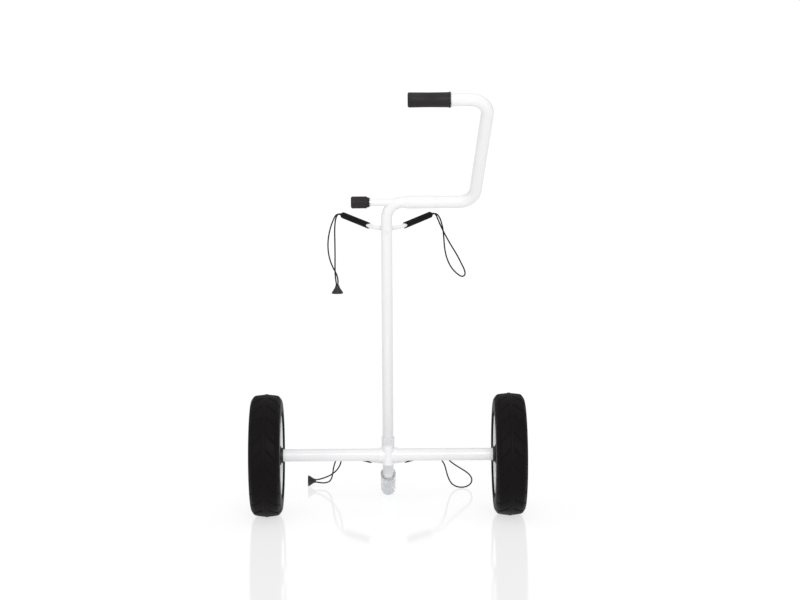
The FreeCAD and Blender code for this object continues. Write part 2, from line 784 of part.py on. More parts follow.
CORD_ROUTES = {
    "upper_cord_left_outer": [
        (-106.0, 100.4, 682.2), (-111.9, 108.3, 684.1), (-118.9, 113.1, 679.8),
        (-124.6, 115.1, 668.0), (-131.4, 115.5, 649.5), (-136.4, 115.1, 625.0),
        (-137.0, 114.6, 600.0), (-132.8, 113.7, 576.5), (-125.4, 112.7, 558.0),
        (-117.8, 111.9, 545.0), (-113.8, 111.9, 530.5), (-114.4, 112.1, 517.0),
        (-114.9, 112.1, 508.0),
    ],
    "upper_cord_left_inner": [
        (-103.1, 102.5, 682.7), (-109.0, 110.4, 684.6), (-115.0, 116.4, 680.5),
        (-119.2, 119.7, 669.5), (-121.2, 120.3, 648.0), (-120.6, 119.6, 613.0),
        (-120.6, 118.1, 577.0), (-121.0, 116.3, 552.0), (-120.0, 115.6, 533.0),
        (-117.4, 115.5, 517.0), (-116.4, 115.5, 508.0),
    ],
    "upper_cord_right": [
        (106.0, 100.4, 682.2), (111.9, 108.3, 684.1), (118.9, 113.3, 680.5), (125.4, 116.1, 669.5),
        (130.9, 116.7, 649.0), (133.0, 116.1, 624.0), (134.6, 115.1, 600.0), (139.8, 114.1, 577.0),
        (150.0, 113.1, 556.0), (163.5, 112.1, 542.0), (175.2, 111.1, 535.0), (182.0, 110.4, 539.5),
        (181.6, 110.1, 549.0), (174.8, 109.6, 564.0), (161.7, 109.1, 589.5), (147.0, 108.6, 613.0),
        (136.0, 109.6, 633.5), (125.8, 113.6, 653.5), (118.6, 118.3, 671.2), (114.4, 116.3, 680.6),
        (109.0, 110.4, 684.6), (103.1, 102.5, 682.7),
    ],
    "lower_cord_left_outer": [
        (-106.0, 237.7, 97.0), (-111.9, 245.8, 97.0), (-120.5, 253.1, 90.0), (-127.5, 261.6, 75.5),
        (-132.5, 272.6, 58.5), (-135.0, 284.6, 42.5), (-137.6, 297.1, 27.5), (-143.0, 309.6, 16.0),
        (-152.5, 319.1, 10.5), (-164.0, 325.1, 9.0), (-175.0, 328.3, 10.5), (-187.0, 329.1, 11.7),
    ],
    "lower_cord_left_inner": [
        (-103.1, 239.8, 97.0), (-109.0, 247.9, 97.0), (-112.6, 256.6, 90.0), (-113.4, 266.6, 75.0),
        (-118.4, 277.1, 59.0), (-127.1, 288.1, 45.4), (-139.7, 301.6, 33.3), (-154.2, 313.6, 24.9),
        (-166.5, 322.6, 19.3), (-176.5, 327.6, 16.6), (-187.0, 329.1, 15.3),
    ],
    "lower_cord_right": [
        (103.1, 239.8, 97.0), (109.0, 247.9, 97.0), (117.5, 254.1, 91.0), (127.0, 257.6, 81.0),
        (137.0, 260.1, 64.9), (140.5, 268.1, 49.8), (145.1, 277.1, 32.0), (152.2, 285.1, 15.3),
        (162.6, 291.1, 5.7), (176.1, 293.6, 1.6), (190.6, 293.1, 3.3), (201.0, 290.6, 10.4),
        (204.8, 287.1, 20.3), (201.9, 283.1, 31.0), (192.0, 278.1, 42.1), (175.5, 272.1, 53.5),
        (157.5, 265.1, 66.0), (141.5, 255.6, 82.0), (130.0, 250.6, 90.0), (120.5, 249.9, 96.5),
        (111.9, 245.8, 97.0), (106.0, 237.7, 97.0),
    ],
}

UPPER_TOGGLE_NECK = Vector(-115.7, 113.8, 517)
LOWER_TOGGLE_NECK = Vector(-178, 329.1, 13.8)


def build_cord(label, route):
    """One elastic cord, whose bends are as wide as its straight runs allow."""
    radius = value("cord_radius")
    points = [Vector(*point) for point in route]
    bends = []
    for before, corner, after in zip(points, points[1:], points[2:]):
        inward, outward = before - corner, after - corner
        half_turn = (math.pi - inward.getAngle(outward)) / 2
        bends.append(0.45 * min(inward.Length, outward.Length) / math.tan(half_turn))
    path = smooth_path(points, bends)
    cord = keep(label, shaped(label, swept(path, radius)))
    ratio = cord.Shape.Volume / (math.pi * radius ** 2 * path.Length)
    print(f"{label}: length {path.Length:.0f}, tightest bend {min(bends):.1f}, "
          f"volume over section times length {ratio:.4f}")


def build_toggle(label, neck, direction):
    """A cone that the two strands of a cord end in."""
    radius, neck_radius, length, lip, bevel = sizes(
        "toggle_radius", "toggle_neck_radius", "toggle_length", "toggle_lip", "toggle_bevel")
    keep(label, turned(label, [
        (0, 0), (0, neck_radius), (length - lip, radius), (length, radius - bevel), (length, 0),
    ], facing_x(neck, direction)))


def check_and_export():
    document.recompute()
    for thing in document.Objects:
        if "Invalid" in thing.State or "Error" in thing.State:
            raise RuntimeError(f"{thing.Label} did not build: {thing.State}")
    os.makedirs("parts", exist_ok=True)
    for label, thing in nodes.items():
        shape = thing.Shape
        if shape.isNull() or not shape.isValid() or not shape.Solids:
            raise RuntimeError(f"{label} has no valid solid")
    for label, thing in nodes.items():
        thing.Shape.exportStep(f"parts/{label}.step")
    print(f"{len(nodes)} nodes")


tube_outside = build_main_tube()
document.recompute()
build_foot_cap(tube_outside)
build_rod_guide(tube_outside)
build_axle()
build_carrier(tube_outside)
for level, turn in (("upper", TILT), ("lower", Rotation())):
    arms = build_bracket(level, value(f"{level}_bracket_height"), turn, tube_outside)
    build_sleeves(level, arms)
for side, way in (("left", -RIGHT), ("right", RIGHT)):
    build_wheel(side, way)
build_handle()
for label, route in CORD_ROUTES.items():
    build_cord(label, route)
build_toggle("upper_cord_toggle", UPPER_TOGGLE_NECK, -UP)
build_toggle("lower_cord_toggle", LOWER_TOGGLE_NECK, -RIGHT)
check_and_export()
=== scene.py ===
import json
import math

import bpy
import numpy as np
from bpy.props import FloatProperty, FloatVectorProperty, IntProperty, PointerProperty
from bpy.types import Operator, Panel, PropertyGroup
from mathutils import Matrix, Vector


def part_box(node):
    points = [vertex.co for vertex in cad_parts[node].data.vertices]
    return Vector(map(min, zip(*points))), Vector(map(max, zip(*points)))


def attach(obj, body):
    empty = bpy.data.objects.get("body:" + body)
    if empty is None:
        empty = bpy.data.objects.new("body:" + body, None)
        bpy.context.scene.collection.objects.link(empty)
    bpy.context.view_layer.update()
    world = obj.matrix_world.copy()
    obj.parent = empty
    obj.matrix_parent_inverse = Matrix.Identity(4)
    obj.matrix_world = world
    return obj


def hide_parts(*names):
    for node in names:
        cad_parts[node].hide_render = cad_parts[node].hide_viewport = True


bl_info = {
    "name": "Golf Push Cart",
    "version": (1, 0, 0),
    "blender": (4, 5, 0),
    "location": "View3D > Sidebar > Golf Cart",
    "description": "Builds the looks of a two-wheeled golf push cart around its fixed frame",
    "category": "Object",
}

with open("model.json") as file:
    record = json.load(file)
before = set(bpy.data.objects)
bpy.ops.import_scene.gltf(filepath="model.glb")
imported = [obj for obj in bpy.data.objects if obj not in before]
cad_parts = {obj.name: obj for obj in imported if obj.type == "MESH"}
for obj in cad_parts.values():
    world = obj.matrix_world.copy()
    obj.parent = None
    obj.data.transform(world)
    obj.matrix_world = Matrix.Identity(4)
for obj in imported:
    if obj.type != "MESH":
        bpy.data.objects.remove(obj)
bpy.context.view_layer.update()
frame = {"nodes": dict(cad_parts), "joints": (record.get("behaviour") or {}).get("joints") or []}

MM = 0.001
SIDES = ("left", "right")
LEVELS = ("upper", "lower")
JOINTS = {joint["name"]: joint for joint in frame["joints"]}
AXLE_Y, WHEEL_RADIUS = JOINTS["wheel_left_spin"]["pos_m"][1:]
RIGHT, UP = Vector((1, 0, 0)), Vector((0, 0, 1))

# sizes of the frame's own pieces that the new pieces fit, in metres
SLEEVE_RADIUS, ROD_RADIUS, ARM_LENGTH = 0.00725, 0.00475, 0.105
RIM_RADIUS, HUB_RADIUS, SPOKES = 0.098, 0.022, 6
TYRE_STEPS = 900  # points round a tyre, enough for the edges of its grooves
FOOT_Y, FOOT_SINK = 0.22209, 0.00125
FOOT_CORNER_Y, FOOT_CORNER_Z, FOOT_OVERLAP = 0.11698, 0.078, 0.101
FOOT_WALL = 0.0045

# brightness of the world to the camera and to the cart, and of the floor by itself
WORLD_SEEN, WORLD_LIGHT, FLOOR_GLOW = 1.05, 0.50, 0.66


# --- sizes and colours a user may change -------------------------------------

class CartSizes(PropertyGroup):
    """Sizes of the details that are added to the frame."""

    tread_depth: FloatProperty(
        name="Tread depth", description="Depth of the grooves in the tyres",
        default=0.0021, min=0.0, max=0.004, unit="LENGTH")
    tread_grooves: IntProperty(
        name="Tread grooves", description="Number of chevron grooves round each tyre",
        default=22, min=6, max=60)
    tread_slant: FloatProperty(
        name="Tread slant", description="Angle of the grooves from the tyre's own direction",
        default=math.radians(42), min=math.radians(20), max=math.radians(80), subtype="ANGLE")
    rib_width: FloatProperty(
        name="Centre rib width", description="Width of the raised rib round the tyre's middle",
        default=0.0066, min=0.002, max=0.02, unit="LENGTH")
    rib_height: FloatProperty(
        name="Centre rib height", description="How far the centre rib stands above the tread",
        default=0.0035, min=0.0, max=0.006, unit="LENGTH")
    rim_recess: FloatProperty(
        name="Rim recess", description="How far the rim's edge lies inside the tyre's side",
        default=0.004, min=0.0, max=0.02, unit="LENGTH")
    cord_diameter: FloatProperty(
        name="Cord diameter", description="Thickness of the elastic cords",
        default=0.0034, min=0.001, max=0.01, unit="LENGTH")
    braid_relief: FloatProperty(
        name="Braid relief", description="Height of the strands on the cords",
        default=0.00012, min=0.0, max=0.0005, unit="LENGTH")


class CartColours(PropertyGroup):
    """Colours of the cart's finishes."""

    powder_coat: FloatVectorProperty(
        name="Powder coat", description="White coat on the tubes and rods",
        default=(0.83, 0.83, 0.84), size=3, min=0, max=1, subtype="COLOR")
    white_plastic: FloatVectorProperty(
        name="White plastic", description="Moulded rims and the ring beside the grip",
        default=(0.81, 0.815, 0.825), size=3, min=0, max=1, subtype="COLOR")
    tyre: FloatVectorProperty(
        name="Tyre", description="Tyre rubber", default=(0.006, 0.005, 0.005),
        size=3, min=0, max=1, subtype="COLOR")
    grip: FloatVectorProperty(
        name="Grip", description="Grip and knob rubber", default=(0.012, 0.010, 0.011),
        size=3, min=0, max=1, subtype="COLOR")
    foam: FloatVectorProperty(
        name="Foam", description="Sleeves on the bag arms", default=(0.006, 0.006, 0.006),
        size=3, min=0, max=1, subtype="COLOR")
    black_plastic: FloatVectorProperty(
        name="Black plastic", description="Caps, eyes and toggles", default=(0.009, 0.009, 0.010),
        size=3, min=0, max=1, subtype="COLOR")
    foot: FloatVectorProperty(
        name="Clear foot", description="Translucent cap of the foot",
        default=(0.94, 0.96, 0.99), size=3, min=0, max=1, subtype="COLOR")


# --- node groups ---------------------------------------------------------------

def new_group(name, inputs, outputs):
    """A shader node group with named sockets, given as (name, socket type, default)."""
    group = bpy.data.node_groups.new(name, "ShaderNodeTree")
    for label, kind, default in inputs:
        socket = group.interface.new_socket(name=label, in_out="INPUT", socket_type=kind)
        if default is not None:
            socket.default_value = default
    for label, kind in outputs:
        group.interface.new_socket(name=label, in_out="OUTPUT", socket_type=kind)
    return group, group.nodes.new("NodeGroupInput"), group.nodes.new("NodeGroupOutput")


def noise(tree, vector, scale, detail=3.0):
    node = tree.nodes.new("ShaderNodeTexNoise")
    node.inputs["Detail"].default_value = detail
    tree.links.new(vector, node.inputs["Vector"])
    connect(tree, scale, node.inputs["Scale"])
    return node.outputs["Fac"]


def connect(tree, source, socket):
    """Links a socket, or sets a plain number."""
    if isinstance(source, bpy.types.NodeSocket):
        tree.links.new(source, socket)
    else:
        socket.default_value = source


def maths(tree, operation, first, second=0.0):
    node = tree.nodes.new("ShaderNodeMath")
    node.operation = operation
    connect(tree, first, node.inputs[0])
    connect(tree, second, node.inputs[1])
    return node.outputs[0]


def ranged(tree, source, from_low, from_high, to_low, to_high):
    """A value carried from one range to another, held at the new range's ends."""
    node = tree.nodes.new("ShaderNodeMapRange")
    for index, amount in enumerate((source, from_low, from_high, to_low, to_high)):
        connect(tree, amount, node.inputs[index])
    return node.outputs["Result"]


def mixed(tree, factor, first, second):
    node = tree.nodes.new("ShaderNodeMix")
    node.data_type = "RGBA"
    connect(tree, factor, node.inputs["Factor"])
    for name, colour in (("A", first), ("B", second)):
        socket = next(s for s in node.inputs if s.name == name and s.type == "RGBA")
        if isinstance(colour, bpy.types.NodeSocket):
            tree.links.new(colour, socket)
        else:
            socket.default_value = (*colour, 1)
    return next(s for s in node.outputs if s.type == "RGBA")


def bumped(tree, height, strength, distance):
    node = tree.nodes.new("ShaderNodeBump")
    connect(tree, height, node.inputs["Height"])
    connect(tree, strength, node.inputs["Strength"])
    connect(tree, distance, node.inputs["Distance"])
    return node.outputs["Normal"]


def grain_group():
    """Fine grain: two noises of different scale, added, with a normal and a mask."""
    group, given, result = new_group("fine_grain", [
        ("Vector", "NodeSocketVector", None), ("Scale", "NodeSocketFloat", 800.0),
        ("Strength", "NodeSocketFloat", 0.3), ("Depth", "NodeSocketFloat", 0.0001),
    ], [("Mask", "NodeSocketFloat"), ("Normal", "NodeSocketVector")])
    place = given.outputs["Vector"]
    fine = noise(group, place, given.outputs["Scale"], 4)
    coarse = noise(group, place, maths(group, "MULTIPLY", given.outputs["Scale"], 0.23), 2)
    height = maths(group, "ADD", maths(group, "MULTIPLY", fine, 0.65),
                   maths(group, "MULTIPLY", coarse, 0.35))
    normal = bumped(group, height, given.outputs["Strength"], given.outputs["Depth"])
    group.links.new(height, result.inputs["Mask"])
    group.links.new(normal, result.inputs["Normal"])
    return group


def wear_group():
    """Handling marks: broad cloudy patches crossed by small scuffs, as one mask."""
    group, given, result = new_group("handling_marks", [
        ("Vector", "NodeSocketVector", None), ("Patch Scale", "NodeSocketFloat", 9.0),
        ("Scuff Scale", "NodeSocketFloat", 160.0),
    ], [("Mask", "NodeSocketFloat"), ("Scuffs", "NodeSocketFloat")])
    place = given.outputs["Vector"]
    patches = ranged(group, noise(group, place, given.outputs["Patch Scale"], 5),
                     0.40, 0.68, 0.0, 1.0)
    scuffs = ranged(group, noise(group, place, given.outputs["Scuff Scale"], 6),
                    0.60, 0.74, 0.0, 1.0)
    group.links.new(patches, result.inputs["Mask"])
    group.links.new(maths(group, "MULTIPLY", patches, scuffs), result.inputs["Scuffs"])
    return group


def floor_band_group():
    """A mask that thins out with height above the floor, broken up by noise: dust on the powder
    coat, and a darker, bluer base on the clear foot.
    """
    group, given, result = new_group("floor_band", [
        ("Vector", "NodeSocketVector", None), ("Top", "NodeSocketFloat", 0.12),
        ("Amount", "NodeSocketFloat", 0.5),
    ], [("Mask", "NodeSocketFloat")])
    place = given.outputs["Vector"]
    parts = group.nodes.new("ShaderNodeSeparateXYZ")
    group.links.new(place, parts.inputs[0])
    falloff = ranged(group, parts.outputs["Z"], 0.0, given.outputs["Top"], 1.0, 0.0)
    specks = ranged(group, noise(group, place, 70.0, 6), 0.35, 0.75, 0.15, 1.0)
    mask = maths(group, "MULTIPLY", maths(group, "MULTIPLY", falloff, specks),
                 given.outputs["Amount"])
    group.links.new(mask, result.inputs["Mask"])
    return group


def placed(tree, group_name, vector, **values):
    """A shared group in a material; the values' names hold _ where the socket has a space."""
    node = tree.nodes.new("ShaderNodeGroup")
    node.node_tree = bpy.data.node_groups[group_name]
    tree.links.new(vector, node.inputs["Vector"])
    for name, amount in values.items():
        node.inputs[name.replace("_", " ")].default_value = amount
    return node


# --- materials -----------------------------------------------------------------

def new_material(name):
    material = bpy.data.materials.new(name)
    material.use_nodes = True
    tree = material.node_tree
    shader = tree.nodes["Principled BSDF"]
    place = tree.nodes.new("ShaderNodeTexCoord").outputs["Object"]
    return material, tree, shader, place


def wire(tree, shader, colour, rough, normal):
    """Links a finish's colour, roughness and normal to its shader."""
    for source, name in ((colour, "Base Color"), (rough, "Roughness"), (normal, "Normal")):
        tree.links.new(source, shader.inputs[name])


def colours():
    return bpy.context.scene.cart_colours


def shade(colour, share):
    return tuple(min(1.0, part * share) for part in colour)


def powder_coat(name="powder_coat"):
    """White baked powder: orange peel, faint clouding, a few grey scuffs, dust near the floor."""
    material, tree, shader, place = new_material(name)
    white = tuple(colours().powder_coat)
    marks = placed(tree, "handling_marks", place, Patch_Scale=7.0, Scuff_Scale=210.0)
    peel = placed(tree, "fine_grain", place, Scale=620.0, Strength=0.16, Depth=0.00012)
    dust = placed(tree, "floor_band", place, Top=0.10, Amount=0.10)
    colour = mixed(tree, maths(tree, "MULTIPLY", marks.outputs["Mask"], 0.5),
                   white, shade(white, 0.965))
    colour = mixed(tree, maths(tree, "MULTIPLY", marks.outputs["Scuffs"], 0.22),
                   colour, (0.52, 0.51, 0.50))
    colour = mixed(tree, dust.outputs["Mask"], colour, (0.48, 0.44, 0.38))
    rough = ranged(tree, marks.outputs["Mask"], 0.0, 1.0, 0.30, 0.40)
    wire(tree, shader, colour, rough, peel.outputs["Normal"])
    shader.inputs["Coat Weight"].default_value = 0.10
    shader.inputs["Coat Roughness"].default_value = 0.12
    return material


def moulded_plastic(name, colour, low, high, scale=900.0, strength=0.25, scuff=(0.3, 0.3, 0.3)):
    """Moulded plastic with spark-eroded grain and dull scuffs."""
    material, tree, shader, place = new_material(name)
    marks = placed(tree, "handling_marks", place, Patch_Scale=22.0, Scuff_Scale=260.0)
    grain = placed(tree, "fine_grain", place, Scale=scale, Strength=strength, Depth=0.0001)
    base = mixed(tree, grain.outputs["Mask"], shade(colour, 0.94), shade(colour, 1.06))
    worn = mixed(tree, maths(tree, "MULTIPLY", marks.outputs["Scuffs"], 0.30), base, scuff)
    rough = ranged(tree, marks.outputs["Mask"], 0.0, 1.0, low, high)
    wire(tree, shader, worn, rough, grain.outputs["Normal"])
    return material


def tyre_rubber():
    """Black rubber, paler and duller where dust stays in the grooves."""
    material, tree, shader, place = new_material("tread_rubber")
    black = tuple(colours().tyre)
    marks = placed(tree, "handling_marks", place, Patch_Scale=14.0, Scuff_Scale=120.0)
    grain = placed(tree, "fine_grain", place, Scale=1100.0, Strength=0.35, Depth=0.00012)
    groove = tree.nodes.new("ShaderNodeAttribute")
    groove.attribute_name = "groove"
    base = mixed(tree, grain.outputs["Mask"], shade(black, 0.8), shade(black, 1.25))
    base = mixed(tree, maths(tree, "MULTIPLY", marks.outputs["Mask"], 0.25),
                 base, (0.013, 0.012, 0.011))
    base = mixed(tree, maths(tree, "MULTIPLY", groove.outputs["Fac"], 0.20),
                 base, (0.022, 0.020, 0.018))
    rough = ranged(tree, marks.outputs["Mask"], 0.0, 1.0, 0.42, 0.58)
    rough = maths(tree, "ADD", rough, maths(tree, "MULTIPLY", groove.outputs["Fac"], 0.2))
    wire(tree, shader, base, rough, grain.outputs["Normal"])
    shader.inputs["Specular IOR Level"].default_value = 0.05
    return material


def grip_rubber():
    """Soft moulded rubber: fine pores, polished patches where hands rub."""
    material, tree, shader, place = new_material("grip_rubber")
    black = tuple(colours().grip)
    marks = placed(tree, "handling_marks", place, Patch_Scale=26.0, Scuff_Scale=300.0)
    grain = placed(tree, "fine_grain", place, Scale=1500.0, Strength=0.4, Depth=0.0001)
    base = mixed(tree, grain.outputs["Mask"], shade(black, 0.75), shade(black, 1.3))
    rough = ranged(tree, marks.outputs["Mask"], 0.0, 1.0, 0.50, 0.66)
    wire(tree, shader, base, rough, grain.outputs["Normal"])
    shader.inputs["Specular IOR Level"].default_value = 0.3
    return material


def sleeve_foam():
    """Closed-cell foam: small rounded cells, very matt."""
    material, tree, shader, place = new_material("sleeve_foam")
    black = tuple(colours().foam)
    cells = tree.nodes.new("ShaderNodeTexVoronoi")
    cells.inputs["Scale"].default_value = 900.0
    tree.links.new(place, cells.inputs["Vector"])
    grain = placed(tree, "fine_grain", place, Scale=700.0, Strength=0.3, Depth=0.0002)
    height = maths(tree, "ADD", cells.outputs["Distance"],
                   maths(tree, "MULTIPLY", grain.outputs["Mask"], 0.6))
    base = mixed(tree, cells.outputs["Distance"], shade(black, 1.8), shade(black, 0.7))
    rough = ranged(tree, grain.outputs["Mask"], 0.3, 0.7, 0.72, 0.9)
    wire(tree, shader, base, rough, bumped(tree, height, 0.5, 0.0003))
    shader.inputs["Specular IOR Level"].default_value = 0.12
    return material


def clear_foot():
    """Translucent, slightly blue soft plastic, rubbed dull underneath, and darker and bluer over
    its lowest 8 mm.
    """
    material, tree, shader, place = new_material("clear_foot")
    tint = tuple(colours().foot)
    marks = placed(tree, "handling_marks", place, Patch_Scale=40.0, Scuff_Scale=350.0)
    dust = placed(tree, "floor_band", place, Top=0.008, Amount=0.45)
    base = mixed(tree, marks.outputs["Mask"], tint, shade(tint, 0.95))
    # the colour goes darker and bluer over the lowest 8 mm, towards the floor
    base = mixed(tree, dust.outputs["Mask"], base, (0.30, 0.38, 0.56))
    tree.links.new(base, shader.inputs["Base Color"])
    rough = ranged(tree, dust.outputs["Mask"], 0.0, 0.5, 0.06, 0.30)
    tree.links.new(rough, shader.inputs["Roughness"])
    shader.inputs["Transmission Weight"].default_value = 0.5
    shader.inputs["IOR"].default_value = 1.33
    return material


def metal(name, colour, low, high, scale):
    """Turned or plated metal: fine lines round the part, with a cloudy gloss."""
    material, tree, shader, place = new_material(name)
    marks = placed(tree, "handling_marks", place, Patch_Scale=60.0, Scuff_Scale=500.0)
    lines = placed(tree, "fine_grain", place, Scale=scale, Strength=0.2, Depth=0.00005)
    base = mixed(tree, lines.outputs["Mask"], shade(colour, 0.88), shade(colour, 1.08))
    rough = ranged(tree, marks.outputs["Mask"], 0.0, 1.0, low, high)
    wire(tree, shader, base, rough, lines.outputs["Normal"])
    shader.inputs["Metallic"].default_value = 1.0
    return material


def braided_cord():
    """Woven cord sheath: two crossing sets of strands, from the mesh's strand values. The colour is
    darker where the surface is lower, in the dips between the strands: painted shade.
    """
    material, tree, shader, place = new_material("braided_cord")
    strands = tree.nodes.new("ShaderNodeAttribute")
    strands.attribute_name = "strand"
    grain = placed(tree, "fine_grain", place, Scale=2600.0, Strength=0.4, Depth=0.00006)
    # painted shade: the strand value is the surface's height, so the dips between strands are
    # painted darker and the strands' crowns lighter
    base = mixed(tree, strands.outputs["Fac"], (0.003, 0.003, 0.003), (0.013, 0.012, 0.012))
    rough = ranged(tree, strands.outputs["Fac"], 0.0, 1.0, 0.85, 0.6)
    wire(tree, shader, base, rough, grain.outputs["Normal"])
    shader.inputs["Sheen Weight"].default_value = 0.04
    shader.inputs["Specular IOR Level"].default_value = 0.2
    shader.inputs["Sheen Roughness"].default_value = 0.4
    return material


def finish(thing, material_name):
    thing.data.materials.clear()
    thing.data.materials.append(bpy.data.materials[material_name])


# --- surfaces --------------------------------------------------------------------

def surface(name, points, closed_rows=False, closed_columns=True, sharp=math.radians(38)):
    """A mesh over a grid of points, rows by columns by 3.

    Each cell is one four-sided face. A row whose points all meet is a pole, closed by a
    fan of triangles. Faces point outwards: the signed volume is the sum over faces of
    a corner dotted with the cross of the next two, and a negative one is turned round.
    """
    rows, columns = points.shape[:2]
    first_pole = not closed_rows and np.ptp(points[0], axis=0).max() < 1e-9
    last_pole = not closed_rows and np.ptp(points[-1], axis=0).max() < 1e-9
    ring = points[int(first_pole):rows - int(last_pole)]
    count = len(ring)
    index = np.arange(count * columns).reshape(count, columns)
    down = np.roll(index, -1, axis=0) if closed_rows else index[1:]
    here = index if closed_rows else index[:-1]
    if closed_columns:
        across, across_down = np.roll(here, -1, axis=1), np.roll(down, -1, axis=1)
    else:
        across, across_down = here[:, 1:], down[:, 1:]
        here, down = here[:, :-1], down[:, :-1]
    quads = np.stack([here, across, across_down, down], axis=-1).reshape(-1, 4)
    corners = ring.reshape(-1, 3)
    faces = quads.tolist()
    for pole, row, way in ((first_pole, 0, -1), (last_pole, -1, 1)):
        if pole:
            tip = len(corners)
            corners = np.vstack([corners, points[row][:1]])
            edge = index[row]
            fan = np.stack([np.full(columns, tip), edge, np.roll(edge, way * -1)], axis=-1)
            faces += fan.tolist()
    a, b, c = (corners[quads[:, i]] for i in (0, 1, 2))
    d = corners[quads[:, 3]]
    volume = np.einsum("ij,ij->", a, np.cross(b, c)) + np.einsum("ij,ij->", a, np.cross(c, d))
    if volume < 0:
        faces = [face[::-1] for face in faces]
    mesh = bpy.data.meshes.new(name)
    mesh.from_pydata(corners.tolist(), [], faces)
    mesh.polygons.foreach_set("use_smooth", np.ones(len(mesh.polygons), bool))
    mesh.set_sharp_from_angle(angle=sharp)
    mesh.update()
    thing = bpy.data.objects.new(name, mesh)
    bpy.context.scene.collection.objects.link(thing)
    return thing


def joined(name, things):
    """One object from several closed shells, kept as they are."""
    with bpy.context.temp_override(active_object=things[0], selected_editable_objects=things):
        bpy.ops.object.join()
    things[0].name = name
    things[0].data.name = name
    return things[0]


def rounded(corners, steps=6):
    """A profile of (along, radius, round) corners, each rounded by a tangent arc.

    The arc of radius r starts r times the tangent of half the turn before its corner. It is
    drawn as the point at r from the arc's centre, at evenly spaced angles.
    """
    points = []
    plane = [np.array(corner[:2], float) for corner in corners]
    for index, corner in enumerate(corners):
        here, radius = plane[index], corner[2] if len(corner) > 2 else 0
        if not radius:
            points.append(here)
            continue
        before, after = plane[index - 1], plane[(index + 1) % len(plane)]
        inward = (before - here) / np.linalg.norm(before - here)
        outward = (after - here) / np.linalg.norm(after - here)
        half = math.acos(np.clip(inward @ outward, -1, 1)) / 2
        middle = (inward + outward) / np.linalg.norm(inward + outward)
        centre = here + middle * radius / math.sin(half)
        start = here + inward * radius / math.tan(half) - centre
        end = here + outward * radius / math.tan(half) - centre
        turn = math.acos(np.clip(start @ end / radius ** 2, -1, 1))
        share = np.linspace(0, 1, steps)[:, None]
        points.extend(centre + (np.sin((1 - share) * turn) * start + np.sin(share * turn) * end)
                      / math.sin(turn))
    return np.array(points)


def divided(profile, longest):
    """The same profile with extra points, so that no stretch is longer than that."""
    out = [profile[0]]
    for start, end in zip(profile, profile[1:]):
        pieces = max(1, math.ceil(np.linalg.norm(end - start) / longest))
        out.extend(start + (end - start) * np.arange(1, pieces + 1)[:, None] / pieces)
    return np.array(out)


def faded(along, start, end, width):
    """1 between two places and 0 beyond them, with a straight ramp inside each end."""
    return np.clip((along - start) / width, 0, 1) * np.clip((end - along) / width, 0, 1)


def axes_of(direction):
    """Two directions square to a given one, and to each other."""
    along = np.array(direction, float) / np.linalg.norm(direction)
    helper = np.array((0.0, 0.0, 1.0)) if abs(along[2]) < 0.9 else np.array((0.0, 1.0, 0.0))
    first = np.cross(along, helper)
    first /= np.linalg.norm(first)
    return along, first, np.cross(along, first)


def turned_points(profile, origin, direction, angles, swell=None):
    """Points of a profile of (along, radius) turned about a line.

    point = origin + along * line + (radius + swell) * (cos(angle) * first + sin(angle) * second)
    """
    along, first, second = axes_of(direction)
    radius = profile[:, 1:2] + (0 if swell is None else swell)
    cosine, sine = np.cos(angles)[None, :], np.sin(angles)[None, :]
    ring = (radius * cosine)[..., None] * first + (radius * sine)[..., None] * second
    return np.array(origin) + profile[:, 0][:, None, None] * along + ring


def turned(name, profile, origin, direction, steps=96, closed=False, swell=None, **options):
    """A turned piece. swell is a function of along and angle that adds to the radius."""
    angles = np.linspace(0, 2 * math.pi, steps, endpoint=False)
    extra = None if swell is None else swell(profile[:, 0][:, None], angles[None, :])
    points = turned_points(profile, origin, direction, angles, extra)
    return surface(name, points, closed_rows=closed, **options)


def tube_points(path, radius, steps):
    """A round section carried along a path without twist.

    The section's first direction is the last one less its part along the path's new
    direction, so it never spins about the path.
    """
    tangent = np.gradient(path, axis=0)
    tangent /= np.linalg.norm(tangent, axis=1)[:, None]
    first = np.empty_like(path)
    first[0] = axes_of(tangent[0])[1]
    for row in range(1, len(path)):
        carried = first[row - 1] - tangent[row] * (first[row - 1] @ tangent[row])
        first[row] = carried / np.linalg.norm(carried)
    second = np.cross(tangent, first)
    angles = np.linspace(0, 2 * math.pi, steps, endpoint=False)
    section = (np.cos(angles)[None, :, None] * first[:, None] +
               np.sin(angles)[None, :, None] * second[:, None])
    return path[:, None] + section * radius


def put(thing, body, slot, *nodes, material=None):
    """Rides the piece on a body, in place of CAD nodes, with a material slot. The slot argument is
    not used.
    """
    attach(thing, body)
    if nodes:
        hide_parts(*nodes)
    finish(thing, material)
    return thing


# --- camera, floor and light ---------------------------------------------------------

CAMERA_BACK, CAMERA_HEIGHT = 4.5, 0.95
CAMERA_PITCH, CAMERA_YAW = math.radians(5.775), math.radians(0.372)
CAMERA_ROLL = math.radians(0.33)
CAMERA_LENS, CAMERA_SENSOR = 89.82, 36.0


def build_camera():
    """The camera stands behind the handle, a little above its middle, and looks slightly down."""
    data = bpy.data.cameras.new("camera")
    data.lens, data.sensor_width = CAMERA_LENS, CAMERA_SENSOR
    camera = bpy.data.objects.new("camera", data)
    bpy.context.scene.collection.objects.link(camera)
    ahead = Vector((math.sin(CAMERA_YAW) * math.cos(CAMERA_PITCH),
                    math.cos(CAMERA_YAW) * math.cos(CAMERA_PITCH), -math.sin(CAMERA_PITCH)))
    side = ahead.cross(UP).normalized()
    top = side.cross(ahead)
    cosine, sine = math.cos(CAMERA_ROLL), math.sin(CAMERA_ROLL)
    turned_side = side * cosine - top * sine
    turned_top = top * cosine + side * sine
    turn = Matrix((turned_side, turned_top, -ahead)).transposed()
    stand = Matrix.Translation((0, AXLE_Y - CAMERA_BACK, CAMERA_HEIGHT))
    camera.matrix_world = stand @ turn.to_4x4()
    bpy.context.scene.camera = camera


